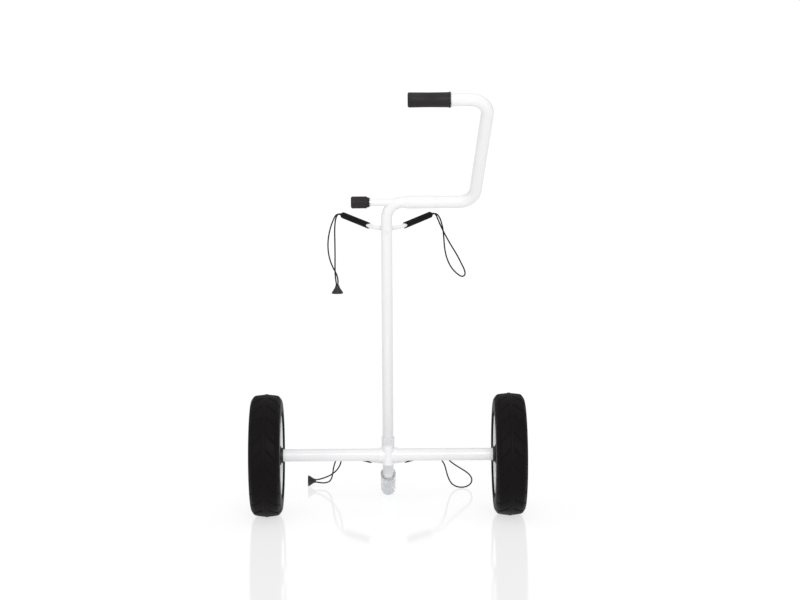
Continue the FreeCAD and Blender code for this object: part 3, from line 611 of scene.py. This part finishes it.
def build_floor():
    """A wide flat pale sheet with a glow of its own, glossy enough to mirror the cart."""
    depth, across = np.linspace(-12, 60, 10), np.linspace(-30, 30, 9)
    points = np.zeros((len(depth), len(across), 3))
    points[..., 0], points[..., 1] = across, depth[:, None]
    floor = surface("floor", points, closed_columns=False, sharp=math.pi)
    _, tree, shader, place = new_material("studio_floor")
    tone = noise(tree, place, 0.8, 2)
    tree.links.new(mixed(tree, tone, (0.29, 0.29, 0.29), (0.31, 0.31, 0.31)),
                   shader.inputs["Base Color"])
    shader.inputs["Roughness"].default_value = 0.09
    shader.inputs["Emission Color"].default_value = (1, 1, 1, 1)
    shader.inputs["Emission Strength"].default_value = FLOOR_GLOW
    shader.inputs["Specular IOR Level"].default_value = 0.55
    finish(floor, "studio_floor")


def build_light():
    """Soft light from all round, with large soft panels above, at each side and in front.

    The world is white where it is seen and about half as bright where it lights the cart,
    so that the white tubes keep their shape against it.
    """
    scene = bpy.context.scene
    world = bpy.data.worlds.new("studio")
    scene.world = world
    world.use_nodes = True
    background = world.node_tree.nodes["Background"]
    background.inputs["Color"].default_value = (1, 1, 1, 1)
    path = world.node_tree.nodes.new("ShaderNodeLightPath")
    world.node_tree.links.new(
        ranged(world.node_tree, path.outputs["Is Camera Ray"], 0.0, 1.0, WORLD_LIGHT, WORLD_SEEN),
        background.inputs["Strength"])
    panels = [
        ("top_panel", (0.0, -0.2, 3.2), 4.0, 30), ("left_panel", (-3.2, -1.6, 1.7), 2.4, 16),
        ("right_panel", (3.2, -1.2, 1.7), 2.4, 12), ("front_panel", (0.4, -5.5, 2.8), 2.2, 130),
    ]
    for name, place, size, power in panels:
        data = bpy.data.lights.new(name, "AREA")
        data.shape, data.size, data.energy = "DISK", size, power
        lamp = bpy.data.objects.new(name, data)
        lamp.location = place
        aim = Vector((0, 0, 0.4)) - Vector(place)
        lamp.rotation_euler = aim.to_track_quat("-Z", "Y").to_euler()
        scene.collection.objects.link(lamp)
    scene.view_settings.view_transform = "Standard"


# --- cords -----------------------------------------------------------------------------

CORD_ROUTES = {
    # route points in millimetres, from the cord's eye outwards
    "upper_cord_left_outer": [
        (-106.0, 100.4, 682.2), (-111.9, 108.3, 684.1), (-118.9, 113.1, 679.8),
        (-124.6, 115.1, 668.0), (-131.4, 115.5, 649.5), (-136.4, 115.1, 625.0),
        (-137.0, 114.6, 600.0), (-132.8, 113.7, 576.5), (-125.4, 112.7, 558.0),
        (-117.8, 111.9, 545.0), (-113.8, 111.9, 530.5), (-114.4, 112.1, 517.0),
        (-114.9, 112.1, 508.0),
    ],
    "upper_cord_left_inner": [
        (-103.1, 102.5, 682.7), (-109.0, 110.4, 684.6), (-115.0, 116.4, 680.5),
        (-119.2, 119.7, 669.5), (-121.2, 120.3, 648.0), (-120.6, 119.6, 613.0),
        (-120.6, 118.1, 577.0), (-121.0, 116.3, 552.0), (-120.0, 115.6, 533.0),
        (-117.4, 115.5, 517.0), (-116.4, 115.5, 508.0),
    ],
    "upper_cord_right": [
        (106.0, 100.4, 682.2), (111.9, 108.3, 684.1), (118.9, 113.3, 680.5), (125.4, 116.1, 669.5),
        (130.9, 116.7, 649.0), (133.0, 116.1, 624.0), (134.6, 115.1, 600.0), (139.8, 114.1, 577.0),
        (150.0, 113.1, 556.0), (163.5, 112.1, 542.0), (175.2, 111.1, 535.0), (182.0, 110.4, 539.5),
        (181.6, 110.1, 549.0), (174.8, 109.6, 564.0), (161.7, 109.1, 589.5), (147.0, 108.6, 613.0),
        (136.0, 109.6, 633.5), (125.8, 113.6, 653.5), (118.6, 118.3, 671.2), (114.4, 116.3, 680.6),
        (109.0, 110.4, 684.6), (103.1, 102.5, 682.7),
    ],
    "lower_cord_left_outer": [
        (-106.0, 237.7, 97.0), (-111.9, 245.8, 97.0), (-120.5, 253.1, 90.0), (-127.5, 261.6, 75.5),
        (-132.5, 272.6, 58.5), (-135.0, 284.6, 42.5), (-137.6, 297.1, 27.5), (-143.0, 309.6, 16.0),
        (-152.5, 319.1, 10.5), (-164.0, 325.1, 9.0), (-175.0, 328.3, 10.5), (-187.0, 329.1, 11.7),
    ],
    "lower_cord_left_inner": [
        (-103.1, 239.8, 97.0), (-109.0, 247.9, 97.0), (-112.6, 256.6, 90.0), (-113.4, 266.6, 75.0),
        (-118.4, 277.1, 59.0), (-127.1, 288.1, 45.4), (-139.7, 301.6, 33.3), (-154.2, 313.6, 24.9),
        (-166.5, 322.6, 19.3), (-176.5, 327.6, 16.6), (-187.0, 329.1, 15.3),
    ],
    "lower_cord_right": [
        (103.1, 239.8, 97.0), (109.0, 247.9, 97.0), (117.5, 254.1, 91.0), (127.0, 257.6, 81.0),
        (137.0, 260.1, 64.9), (140.5, 268.1, 49.8), (145.1, 277.1, 32.0), (152.2, 285.1, 15.3),
        (162.6, 291.1, 5.7), (176.1, 293.6, 1.6), (190.6, 293.1, 3.3), (201.0, 290.6, 10.4),
        (204.8, 287.1, 20.3), (201.9, 283.1, 31.0), (192.0, 278.1, 42.1), (175.5, 272.1, 53.5),
        (157.5, 265.1, 66.0), (141.5, 255.6, 82.0), (130.0, 250.6, 90.0), (120.5, 249.9, 96.5),
        (111.9, 245.8, 97.0), (106.0, 237.7, 97.0),
    ],
}


def cord_line(label):
    """The smooth line of a cord: a NURBS spline whose control points are its route."""
    curve = bpy.data.curves.new(f"{label}_line", "CURVE")
    curve.dimensions = "3D"
    curve.resolution_u = 10
    spline = curve.splines.new("NURBS")
    route = np.array(CORD_ROUTES[label]) * MM
    spline.points.add(len(route) - 1)
    spline.points.foreach_set("co", np.hstack([route, np.ones((len(route), 1))]).ravel())
    spline.order_u = 3
    spline.use_endpoint_u = True
    guide = bpy.data.objects.new(f"{label}_line", curve)
    bpy.context.scene.collection.objects.link(guide)
    bpy.context.view_layer.update()
    shown = guide.evaluated_get(bpy.context.evaluated_depsgraph_get())
    mesh = bpy.data.meshes.new_from_object(shown)
    path = np.empty(len(mesh.vertices) * 3)
    mesh.vertices.foreach_get("co", path)
    bpy.data.objects.remove(guide)
    bpy.data.curves.remove(curve)
    bpy.data.meshes.remove(mesh)
    return path.reshape(-1, 3)


def evened(path, step):
    """The same line with points at even steps along it."""
    reach = np.concatenate([[0], np.cumsum(np.linalg.norm(np.diff(path, axis=0), axis=1))])
    marks = np.linspace(0, reach[-1], max(2, round(reach[-1] / step) + 1))
    return np.stack([np.interp(marks, reach, path[:, axis]) for axis in range(3)], axis=1), marks


def build_cord(label):
    """A braided tube along the cord's line.

    Two sets of strands wind round it in opposite ways. At distance s and angle a each set is
    the cosine of 6a plus or minus s over the pitch, and the higher of the two shows.
    """
    sizes = bpy.context.scene.cart_sizes
    radius, relief, steps = sizes.cord_diameter / 2, sizes.braid_relief, 24
    path, marks = evened(cord_line(label), 0.0007)
    angles = np.linspace(0, 2 * math.pi, steps, endpoint=False)
    wind = marks[:, None] / 0.0026 * math.pi
    over = np.cos(6 * angles[None, :] + wind)
    under = np.cos(6 * angles[None, :] - wind)
    strand = np.maximum(over, under) * 0.5 + 0.5
    swollen = (radius - relief + relief * strand)[..., None]
    body = tube_points(path, swollen, steps)
    ends = [np.broadcast_to(path[end], (1, steps, 3)) for end in (0, -1)]
    thing = surface(label + "_braid", np.concatenate([ends[0], body, ends[1]]), sharp=math.pi)
    # the strand height also goes to the material, which paints shade into the dips between strands
    shown = thing.data.attributes.new("strand", "FLOAT", "POINT")
    shown.data.foreach_set("value", np.append(strand.ravel(), [0.5, 0.5]))
    put(thing, "frame", "elastic_cord", label, material="braided_cord")
    return thing


def build_toggle(level, origin, direction):
    """Cone with a rolled rim, two grip rings and a dished base."""
    low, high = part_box(f"{level}_cord_toggle")
    widest = max(high[axis] - low[axis] for axis in range(3)) / 2
    length = min(high[axis] - low[axis] for axis in range(3))
    neck = widest / 3
    profile = rounded([
        (0, 0), (0, neck, 0.0008), (length * 0.30, neck * 1.35, 0.002),
        (length * 0.86, widest, 0.0012), (length, widest * 0.93, 0.0010),
        (length * 0.93, widest * 0.75, 0.001), (length * 0.90, widest * 0.3, 0.002),
        (length * 0.94, 0),
    ])
    rings = [length * 0.45, length * 0.60]

    def swell(along, angles):
        bands = sum(np.exp(-((along - ring) / 0.0006) ** 2) for ring in rings)
        return 0.0004 * bands * np.ones_like(angles)

    thing = turned(f"{level}_toggle_cone", divided(profile, 0.0007), origin, direction,
                   steps=72, swell=swell)
    return put(thing, "frame", "black_plastic", f"{level}_cord_toggle", material="black_moulded")


# --- brackets ---------------------------------------------------------------------------

def arm_line(level, side):
    """The middles of a bag arm's sleeve and eye, and the direction from one to the other."""
    low, high = (np.array(corner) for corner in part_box(f"{level}_sleeve_{side}"))
    eye_low, eye_high = (np.array(corner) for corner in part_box(f"{level}_cord_eye_{side}"))
    middle, eye = (low + high) / 2, (eye_low + eye_high) / 2
    along = (eye - middle) / np.linalg.norm(eye - middle)
    return middle, eye, along


def build_sleeve(level, side):
    """Foam sleeve with a rounded closed end and a mouth cut like a fish's.

    The open end's place along the arm is moved back by a share of the squared cosine of
    the angle, so that it is furthest in at two opposite sides.
    """
    middle, _, along = arm_line(level, side)
    length, radius, mouth = ARM_LENGTH, SLEEVE_RADIUS, 0.0055
    start = middle - along * (length / 2)
    profile = divided(rounded([
        (0.012, 0), (0.012, ROD_RADIUS + 0.0002), (0.0, ROD_RADIUS + 0.0002),
        (0.0, radius, 0.0008), (length, radius, 0.0026), (length, 0),
    ]), 0.0016)
    angles = np.linspace(0, 2 * math.pi, 72, endpoint=False)
    lumps = 0.00012 * np.sin(profile[:, :1] * 900 + 2 * np.sin(3 * angles[None, :]))
    lumps = lumps * (profile[:, 1:2] > radius * 0.9)
    points = turned_points(profile, start, along, angles, lumps)
    near = (np.clip(1 - profile[:, 0] / 0.02, 0, 1) * (profile[:, 1] > 0))[:, None, None]
    cut = (np.cos(angles) ** 2)[None, :, None] * mouth
    points = points + np.array(along) * near * cut
    thing = surface(f"{level}_foam_{side}", points)
    return put(thing, "frame", "black_rubber", f"{level}_sleeve_{side}", material="sleeve_foam")


def build_eye(level, side):
    """The bead that the cord comes out of: a waisted drop with a rounded lip."""
    _, eye, along = arm_line(level, side)
    start = eye - along * 0.003
    profile = divided(rounded([
        (0, 0), (0, 0.0036), (0.0018, 0.0029, 0.001), (0.0035, 0.0042, 0.0012),
        (0.006, 0.0032, 0.0012), (0.006, 0),
    ]), 0.0005)
    thing = turned(f"{level}_eye_bead_{side}", profile, start, along, steps=40)
    return put(thing, "frame", "black_plastic", f"{level}_cord_eye_{side}",
               material="black_moulded")


# --- wheels -----------------------------------------------------------------------------

def build_tyre(side):
    """Tyre with a centre rib and chevron grooves.

    A point's groove phase is its distance round the tread less its distance from the rib
    over the tangent of the slant, counted in grooves. The groove is a smooth dip where the
    phase is near a whole number, and it fades out at the rib and on the shoulder.
    """
    sizes = bpy.context.scene.cart_sizes
    low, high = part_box(f"tyre_{side}")
    centre = np.array(((low.x + high.x) / 2, AXLE_Y, WHEEL_RADIUS))
    half = (high.x - low.x) / 2
    outer = WHEEL_RADIUS
    tread = outer - sizes.rib_height
    inner = RIM_RADIUS
    rib = sizes.rib_width / 2
    profile = divided(rounded([
        (-half + 0.002, inner + 0.0004), (-half, inner + 0.003, 0.0015),
        (-half, inner + 0.012, 0.004),
        (-half + 0.0006, tread - 0.011, 0.01), (-half + 0.008, tread - 0.0005, 0.009),
        (-rib - 0.0012, outer - 0.0012, 0.0008), (-rib + 0.0006, outer, 0.0012),
        (rib - 0.0006, outer, 0.0012), (rib + 0.0012, outer - 0.0012, 0.0008),
        (half - 0.008, tread - 0.0005, 0.009), (half - 0.0006, tread - 0.011, 0.01),
        (half, inner + 0.012, 0.004), (half, inner + 0.003, 0.0015), (half - 0.002, inner + 0.0004),
    ], 5), 0.0015)
    angles = np.linspace(0, 2 * math.pi, TYRE_STEPS, endpoint=False)
    across = np.abs(profile[:, 0])[:, None]
    pitch = 2 * math.pi * outer / sizes.tread_grooves
    phase = (angles[None, :] * outer - across / math.tan(sizes.tread_slant)) / pitch
    offset = np.abs((phase + 0.5) % 1 - 0.5) * pitch * math.sin(sizes.tread_slant)
    dip = np.clip(1.25 - offset / 0.0022, 0, 1)
    dip = dip * dip * (3 - 2 * dip)
    band = np.clip((across - rib - 0.0012) / 0.0015, 0, 1) * np.clip((half - across) / 0.006, 0, 1)
    band = band * np.clip((profile[:, 1:2] - (tread - 0.012)) / 0.006, 0, 1)
    groove = dip * band
    scallop = 0.35 * band * np.clip(0.5 - np.abs((phase % 1) - 0.5), 0, 1) * sizes.tread_depth
    points = turned_points(profile, centre, RIGHT, angles, -groove * sizes.tread_depth + scallop)
    thing = surface(f"tyre_tread_{side}", points, closed_rows=True, sharp=math.radians(60))
    mask = thing.data.attributes.new("groove", "FLOAT", "POINT")
    mask.data.foreach_set("value", groove.ravel())
    return put(thing, f"wheel_{side}", "tyre_rubber", f"tyre_{side}", material="tread_rubber")


def build_rim(side):
    """White moulded rim: a barrel with a bead at each edge, a hub ring and waisted spokes."""
    sizes = bpy.context.scene.cart_sizes
    tyre_low, tyre_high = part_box(f"tyre_{side}")
    low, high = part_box(f"rim_{side}")
    middle = (low.x + high.x) / 2
    centre = np.array((middle, AXLE_Y, WHEEL_RADIUS))
    half = (tyre_high.x - tyre_low.x) / 2 - sizes.rim_recess
    barrel = turned(f"rim_barrel_{side}", rounded([
        (-half, RIM_RADIUS - 0.0002, 0.0008), (half, RIM_RADIUS - 0.0002, 0.0008),
        (half, RIM_RADIUS - 0.0085, 0.0016), (half - 0.004, RIM_RADIUS - 0.0085, 0.0016),
        (half - 0.0075, RIM_RADIUS - 0.005, 0.003), (-half + 0.0075, RIM_RADIUS - 0.005, 0.003),
        (-half + 0.004, RIM_RADIUS - 0.0085, 0.0016), (-half, RIM_RADIUS - 0.0085, 0.0016),
    ]), centre, RIGHT, steps=180, closed=True)
    ring_half = half - 0.004
    ring = turned(f"rim_ring_{side}", rounded([
        (-ring_half, HUB_RADIUS, 0.0006), (ring_half, HUB_RADIUS, 0.0006),
        (ring_half, HUB_RADIUS + 0.006, 0.002), (-ring_half, HUB_RADIUS + 0.006, 0.002),
    ]), centre, RIGHT, steps=120, closed=True)
    shells = [barrel, ring]
    reach = np.linspace(HUB_RADIUS + 0.003, RIM_RADIUS - 0.0035, 26)
    share = (reach - reach[0]) / np.ptp(reach)
    width = 0.011 - 0.0055 * np.sin(share * math.pi * 0.62) + 0.0035 * share ** 6
    depth = 0.0075 + 0.006 * (1 - share) ** 2 + 0.003 * share ** 5
    around = np.linspace(0, 2 * math.pi, 28, endpoint=False)
    for spoke in range(SPOKES):
        turn = 2 * math.pi * spoke / SPOKES
        outwards = np.array((0, math.cos(turn), math.sin(turn)))
        sideways = np.array((0, -math.sin(turn), math.cos(turn)))
        flat = np.sign(np.cos(around)) * np.abs(np.cos(around)) ** 0.6
        thick = np.sign(np.sin(around)) * np.abs(np.sin(around)) ** 0.6
        section = (width[:, None, None] * flat[None, :, None] * sideways
                   + depth[:, None, None] * thick[None, :, None] * np.array((1.0, 0, 0)))
        points = centre + reach[:, None, None] * outwards + section
        ends = [np.broadcast_to(points[end].mean(axis=0), (1, 28, 3)) for end in (0, -1)]
        shells.append(surface(f"spoke_{side}_{spoke}", np.concatenate([ends[0], points, ends[1]])))
    thing = joined(f"wheel_rim_{side}", shells)
    return put(thing, f"wheel_{side}", "white_plastic", f"rim_{side}", material="white_moulded")


def build_hub_face(side, way):
    """Hub cap with a stepped ring of grip notches, and the release button with a dished top."""
    low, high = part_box(f"hub_cap_{side}")
    button_low, button_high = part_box(f"release_button_{side}")
    outer = high.x if way > 0 else -low.x
    cap = (high.z - low.z) / 2
    inner = (button_high.z - button_low.z) / 2 + 0.0003
    start = (outer - (high.x - low.x)) * way
    origin = (start, AXLE_Y, WHEEL_RADIUS)
    deep = high.x - low.x
    profile = divided(rounded([
        (0, inner), (deep, inner, 0.0006), (deep, cap - 0.0045, 0.001),
        (deep - 0.0012, cap - 0.004, 0.0006),
        (deep - 0.0016, cap, 0.0012), (deep - 0.004, cap, 0.0005), (deep - 0.004, 0.0142, 0.0004),
        (0, 0.0140, 0.0004),
    ]), 0.0006)

    def notches(along, angles):
        edge = (along > deep - 0.0045).astype(float)
        return -0.0005 * edge * np.clip(np.cos(angles * 30) * 3 - 1.8, 0, 1)

    rim_only = profile[:, 1] > cap - 0.002
    cover = turned(f"hub_cover_{side}", profile, origin, RIGHT * way, steps=360, closed=True,
                   swell=lambda along, angles: notches(along, angles) * rim_only[:, None])
    put(cover, f"wheel_{side}", "black_plastic", f"hub_cap_{side}", material="black_moulded")
    press = button_high.x - button_low.x
    radius = (button_high.z - button_low.z) / 2
    base = (button_low.x if way > 0 else button_high.x, AXLE_Y, WHEEL_RADIUS)
    button = turned(f"release_press_{side}", divided(rounded([
        (0, 0), (0, radius, 0.0004), (press, radius, 0.0018), (press, radius * 0.78, 0.0006),
        (press - 0.0012, radius * 0.70, 0.0016), (press - 0.0016, 0),
    ]), 0.0006), base, RIGHT * way, steps=90)
    put(button, f"button_{side}", "black_plastic", f"release_button_{side}",
        material="black_moulded")


# --- handle -----------------------------------------------------------------------------

def build_grip():
    """Rubber grip with a rounded closed end, an outer flange and faint moulded rings."""
    low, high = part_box("grip")
    length = high.x - low.x
    radius = (high.z - low.z) / 2
    origin = (low.x, (low.y + high.y) / 2, (low.z + high.z) / 2)
    body = radius - 0.001
    profile = divided(rounded([
        (0, 0), (0, body, 0.0035), (length * 0.5, body - 0.00045, 0.06),
        (length - 0.0042, body, 0.0006),
        (length - 0.0036, radius, 0.0006), (length, radius, 0.0006), (length, 0.0140),
        (length - 0.002, 0.0140), (length - 0.002, 0.0139), (length - 0.002, 0),
    ]), 0.0011)

    def ribs(along, angles):
        wave = 0.5 + 0.5 * np.cos(along * 2 * math.pi / 0.0036)
        fade = faded(along, 0.008, length - 0.010, 0.004)
        return -0.00012 * fade * wave * np.ones_like(angles)

    on_side = (profile[:, 1] > body - 0.001)[:, None]
    thing = turned("rubber_grip", profile, origin, RIGHT, steps=120,
                   swell=lambda along, angles: ribs(along, angles) * on_side)
    return put(thing, "handle", "black_rubber", "grip", material="grip_rubber")


def build_knob():
    """Clamp knob with bevelled ends, a collar and shallow finger flutes."""
    low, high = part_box("clamp_knob")
    length = high.x - low.x
    radius = (high.z - low.z) / 2
    origin = (high.x, (low.y + high.y) / 2, (low.z + high.z) / 2)
    profile = divided(rounded([
        (0.004, 0), (0.004, 0.0045), (0, 0.0045), (0, 0.011, 0.0008), (0.0042, 0.011, 0.0004),
        (0.0045, radius - 0.0022, 0.0006),
        (0.0068, radius, 0.0010), (length - 0.0024, radius, 0.0012),
        (length, radius - 0.0026, 0.0010), (length, 0),
    ]), 0.0009)

    def flutes(along, angles):
        fade = faded(along, 0.0085, length - 0.005, 0.003)
        return -0.0006 * fade * np.clip(np.cos(angles * 16) * 1.6 - 0.4, 0, 1)

    on_side = (profile[:, 1] > radius - 0.001)[:, None]
    thing = turned("knob_cover", profile, origin, -RIGHT, steps=288,
                   swell=lambda along, angles: flutes(along, angles) * on_side)
    return put(thing, "knob", "black_plastic", "clamp_knob", material="grip_rubber")


# --- foot -------------------------------------------------------------------------------

def build_foot():
    """Clear round-nosed cap: an outer skin and an inner one, joined by a rolled lip."""
    low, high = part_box("foot_cap")
    outer = (high.x - low.x) / 2
    centre = np.array((0, FOOT_Y, outer - FOOT_SINK))
    corner = np.array((0, FOOT_CORNER_Y, FOOT_CORNER_Z))
    along = (centre - corner) / np.linalg.norm(centre - corner)
    inner = outer - FOOT_WALL
    nose = np.linspace(0, math.pi / 2, 22)
    outside = np.stack([outer * np.sin(nose), outer * np.cos(nose)], axis=1)
    inside = np.stack([inner * np.sin(nose[::-1]), inner * np.cos(nose[::-1])], axis=1)
    inside[:, 0] *= 0.35
    profile = np.concatenate([
        divided(np.array([(-FOOT_OVERLAP + 0.001, outer), (-0.001, outer)]), 0.005), outside])
    hollow = np.concatenate([
        inside, divided(np.array([(-0.001, inner), (-FOOT_OVERLAP + 0.001, inner)]), 0.005)])
    angles = np.linspace(0, 2 * math.pi, 96, endpoint=False)
    skins = []
    for part in (profile, hollow):
        part[:, 1] = np.maximum(part[:, 1], 0)
        skins.append(turned_points(part, centre, along, angles))
    skins[0][-1] = skins[0][-1].mean(axis=0)
    skins[1][0] = skins[1][0].mean(axis=0)
    skins[0][..., 2] = np.maximum(skins[0][..., 2], 0.0)
    shell = np.concatenate([skins[1], skins[0]])
    thing = surface("foot_shell", shell, closed_rows=False, sharp=math.radians(60))
    return put(thing, "frame", "clear_plastic", "foot_cap", material="clear_foot")


# --- finishes of the frame's own pieces -----------------------------------------------

NODE_FINISHES = {
    "powder_coat": ("main_tube", "handle_tube", "axle_tube", "rod_guide", "axle_carrier",
                    "upper_bracket_rod", "lower_bracket_rod", "upper_bracket_bolt"),
    "white_moulded": ("grip_ring",),
    "black_moulded": ("axle_end_cap_left", "axle_end_cap_right", "hub_left", "hub_right",
                      "upper_bracket_saddle", "lower_bracket_saddle"),
    "plated_steel": ("stub_axle_left", "stub_axle_right", "bearings_left", "bearings_right",
                     "latch_plate_left", "latch_plate_right", "draw_rod", "knob_washer",
                     "carrier_grub_screw", "lower_bracket_bolt"),
    "turned_aluminium": ("handle_spigot",),
    "turned_brass": ("knob_insert",),
}


# --- operators --------------------------------------------------------------------------

class CART_OT_stage(Operator):
    """Camera, floor and soft light"""

    bl_idname = "cart.stage"
    bl_label = "Stage"

    def execute(self, context):
        build_camera()
        build_floor()
        build_light()
        return {"FINISHED"}


class CART_OT_materials(Operator):
    """Shared node groups and every finish of the cart"""

    bl_idname = "cart.materials"
    bl_label = "Materials"

    def execute(self, context):
        grain_group()
        wear_group()
        floor_band_group()
        powder_coat()
        moulded_plastic("white_moulded", tuple(colours().white_plastic), 0.30, 0.44,
                        strength=0.12, scuff=(0.45, 0.44, 0.43))
        moulded_plastic("black_moulded", tuple(colours().black_plastic), 0.38, 0.55,
                        scuff=(0.07, 0.07, 0.07))
        tyre_rubber()
        grip_rubber()
        sleeve_foam()
        clear_foot()
        metal("plated_steel", (0.62, 0.62, 0.63), 0.22, 0.40, 900.0)
        metal("turned_aluminium", (0.74, 0.75, 0.77), 0.28, 0.45, 1400.0)
        metal("turned_brass", (0.72, 0.53, 0.25), 0.24, 0.42, 1400.0)
        braided_cord()
        return {"FINISHED"}


class CART_OT_cords(Operator):
    """Elastic cords with their toggles"""

    bl_idname = "cart.cords"
    bl_label = "Cords"

    def execute(self, context):
        necks = {"upper": (Vector((-0.1157, 0.1138, 0.517)), -UP, "hanging"),
                 "lower": (Vector((-0.178, 0.3291, 0.0138)), -RIGHT, "loose")}
        for level in LEVELS:
            origin, direction, lay = necks[level]
            toggle = build_toggle(level, origin, direction)
            build_cord(f"{level}_cord_left_outer")
            build_cord(f"{level}_cord_left_inner")
            build_cord(f"{level}_cord_right")
        return {"FINISHED"}


class CART_OT_brackets(Operator):
    """Foam sleeves and cord eyes on the four bag arms"""

    bl_idname = "cart.brackets"
    bl_label = "Bag arms"

    def execute(self, context):
        for level in LEVELS:
            for side in SIDES:
                build_sleeve(level, side)
                build_eye(level, side)
        return {"FINISHED"}


class CART_OT_wheels(Operator):
    """Tyres, rims, hub covers and release buttons"""

    bl_idname = "cart.wheels"
    bl_label = "Wheels"

    def execute(self, context):
        for side, way in zip(SIDES, (-1, 1)):
            build_tyre(side)
            build_rim(side)
            build_hub_face(side, way)
        return {"FINISHED"}


class CART_OT_handle(Operator):
    """Grip and clamp knob"""

    bl_idname = "cart.handle"
    bl_label = "Handle"

    def execute(self, context):
        build_grip()
        build_knob()
        return {"FINISHED"}


class CART_OT_foot(Operator):
    """Clear cap over the foot"""

    bl_idname = "cart.foot"
    bl_label = "Foot cap"

    def execute(self, context):
        build_foot()
        return {"FINISHED"}


class CART_OT_frame_finish(Operator):
    """Materials on the frame's own pieces"""

    bl_idname = "cart.frame_finish"
    bl_label = "Frame finish"

    def execute(self, context):
        for material_name, labels in NODE_FINISHES.items():
            for label in labels:
                finish(frame["nodes"][label], material_name)
        return {"FINISHED"}


STEPS = (CART_OT_stage, CART_OT_materials, CART_OT_cords, CART_OT_brackets, CART_OT_wheels,
         CART_OT_handle, CART_OT_foot, CART_OT_frame_finish)


class CART_PT_panel(Panel):
    """Every step of the cart, in the order in which it is built"""

    bl_idname = "CART_PT_panel"
    bl_label = "Golf Push Cart"
    bl_space_type = "VIEW_3D"
    bl_region_type = "UI"
    bl_category = "Golf Cart"

    def draw(self, context):
        for step in STEPS:
            self.layout.operator(step.bl_idname)
        for group in (context.scene.cart_sizes, context.scene.cart_colours):
            column = self.layout.column()
            for name in group.__annotations__:
                column.prop(group, name)


CLASSES = (CartSizes, CartColours, *STEPS, CART_PT_panel)


def register():
    for item in CLASSES:
        bpy.utils.register_class(item)
    bpy.types.Scene.cart_sizes = PointerProperty(type=CartSizes)
    bpy.types.Scene.cart_colours = PointerProperty(type=CartColours)


def unregister():
    del bpy.types.Scene.cart_sizes
    del bpy.types.Scene.cart_colours
    for item in reversed(CLASSES):
        bpy.utils.unregister_class(item)


def main():
    register()
    for step in STEPS:
        category, name = step.bl_idname.split(".")
        getattr(getattr(bpy.ops, category), name)()


if __name__ == "__main__":
    main()
